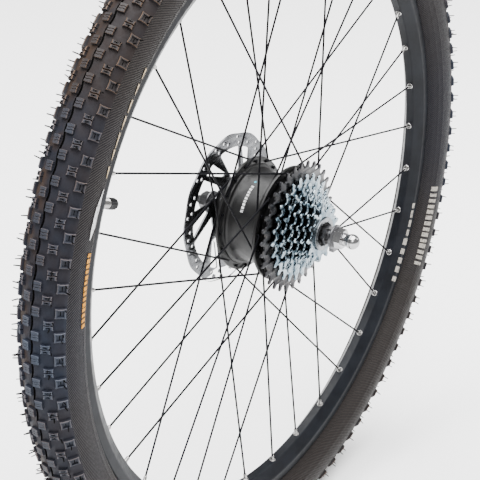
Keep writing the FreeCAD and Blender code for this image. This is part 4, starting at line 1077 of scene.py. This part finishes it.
def cog_outline(teeth, phase):
    """Closed outline of a sprocket as (x, z): round seats and narrow teeth."""
    pitch_rad = CHAIN_PITCH / 2 / math.sin(math.pi / teeth)
    tip = pitch_rad + 3.3
    step = 360.0 / teeth
    half_tip = math.degrees(0.75 / tip)
    points = []
    for k in range(teeth):
        middle = phase + k * step
        centre = polar(pitch_rad, 0, middle)
        for j in range(9):
            angle = math.radians(middle) + math.pi + math.radians(101.5 - 203.0 * j / 8)
            points.append((centre.x + ROLLER_SEAT * math.cos(angle),
                           centre.z + ROLLER_SEAT * math.sin(angle)))
        points += [flat(tip, middle + step / 2 + side * half_tip) for side in (-1, 1)]
    return points


def make_cog(index, teeth):
    """One sprocket with its splined bore and, on the larger ones, lightening holes."""
    middle = FIRST_COG_Y - index * COG_STEP
    spline = ((-5.2, 16.3), (5.2, 16.3), (5.4, COG_BORE), (20.0, COG_BORE), (34.6, COG_BORE))
    holes = [[flat(radius, 40.0 * k + angle) for k in range(9) for angle, radius in spline]]
    root = CHAIN_PITCH / 2 / math.sin(math.pi / teeth) - ROLLER_SEAT
    if root > 38:
        size = min(4.8, (root - 30) / 2 - 1)
        holes += [circle(size, 24, *flat((root + 24.5) / 2, 12.0 + 9 * index + 45.0 * k))
                  for k in range(8)]
    half = COG_THICK / 2
    name = "sprocket_%dt" % teeth
    cog = plate(name, cog_outline(teeth, 4.0 * index), holes, middle - half, middle + half, 0.3)
    finish = "cog_black" if index == 0 else "cog_silver"
    dress(cog, "cassette", finish, name)


# ------------ valve

def make_valve():
    """Threaded valve stem through the rim and its ribbed cap."""
    outline = [(1.0, 279.4), (2.9, 279.4), (3.3, 279.9), (3.3, 286.6), (4.6, 286.7), (5.0, 287.1)]
    for k in range(8):
        start = 287.4 + k * 0.9
        outline += [(5.0, start), (4.7, start + 0.45)]
    outline += [(5.0, 294.8), (4.6, 295.3), (3.8, 295.4), (3.8, 321.0)]
    place = aim((0, 0, 0), polar(1, 0, VALVE_ANGLE))
    stem = copies("valve_stem", *lathe_data(outline, 32), [place], sharp=35.0)
    dress(stem, "wheel", "nipple", "valve_stem")

    def ribbed(angle, k, radius, rib):
        return radius + (rib if k % 4 < 2 else -rib)

    stations = [(275.6, 0.0, 0), (275.6, 3.6, 0), (276.0, 4.5, 0), (276.9, 4.95, 0.12),
                (277.4, 5.1, 0.2), (285.4, 5.1, 0.2), (286.0, 5.2, 0), (286.6, 5.1, 0),
                (286.6, 3.35, 0)]
    cap = copies("valve_cap", *stacked_rings(stations, 48, ribbed), [place], sharp=30.0)
    dress(cap, "wheel", "plastic", "valve_cap")


# ------------ build

for make in (finish_cad_parts, make_casing, make_tread, make_hairs, make_tyre_marks, make_rim,
             make_rim_marks, make_eyelets, make_lacing, make_hub_shell, make_hub_marks,
             make_left_cover, make_disc):
    make()
for place, teeth in enumerate(COG_TEETH):
    make_cog(place, teeth)
make_valve()
place_floor()
place_lights()
place_camera()
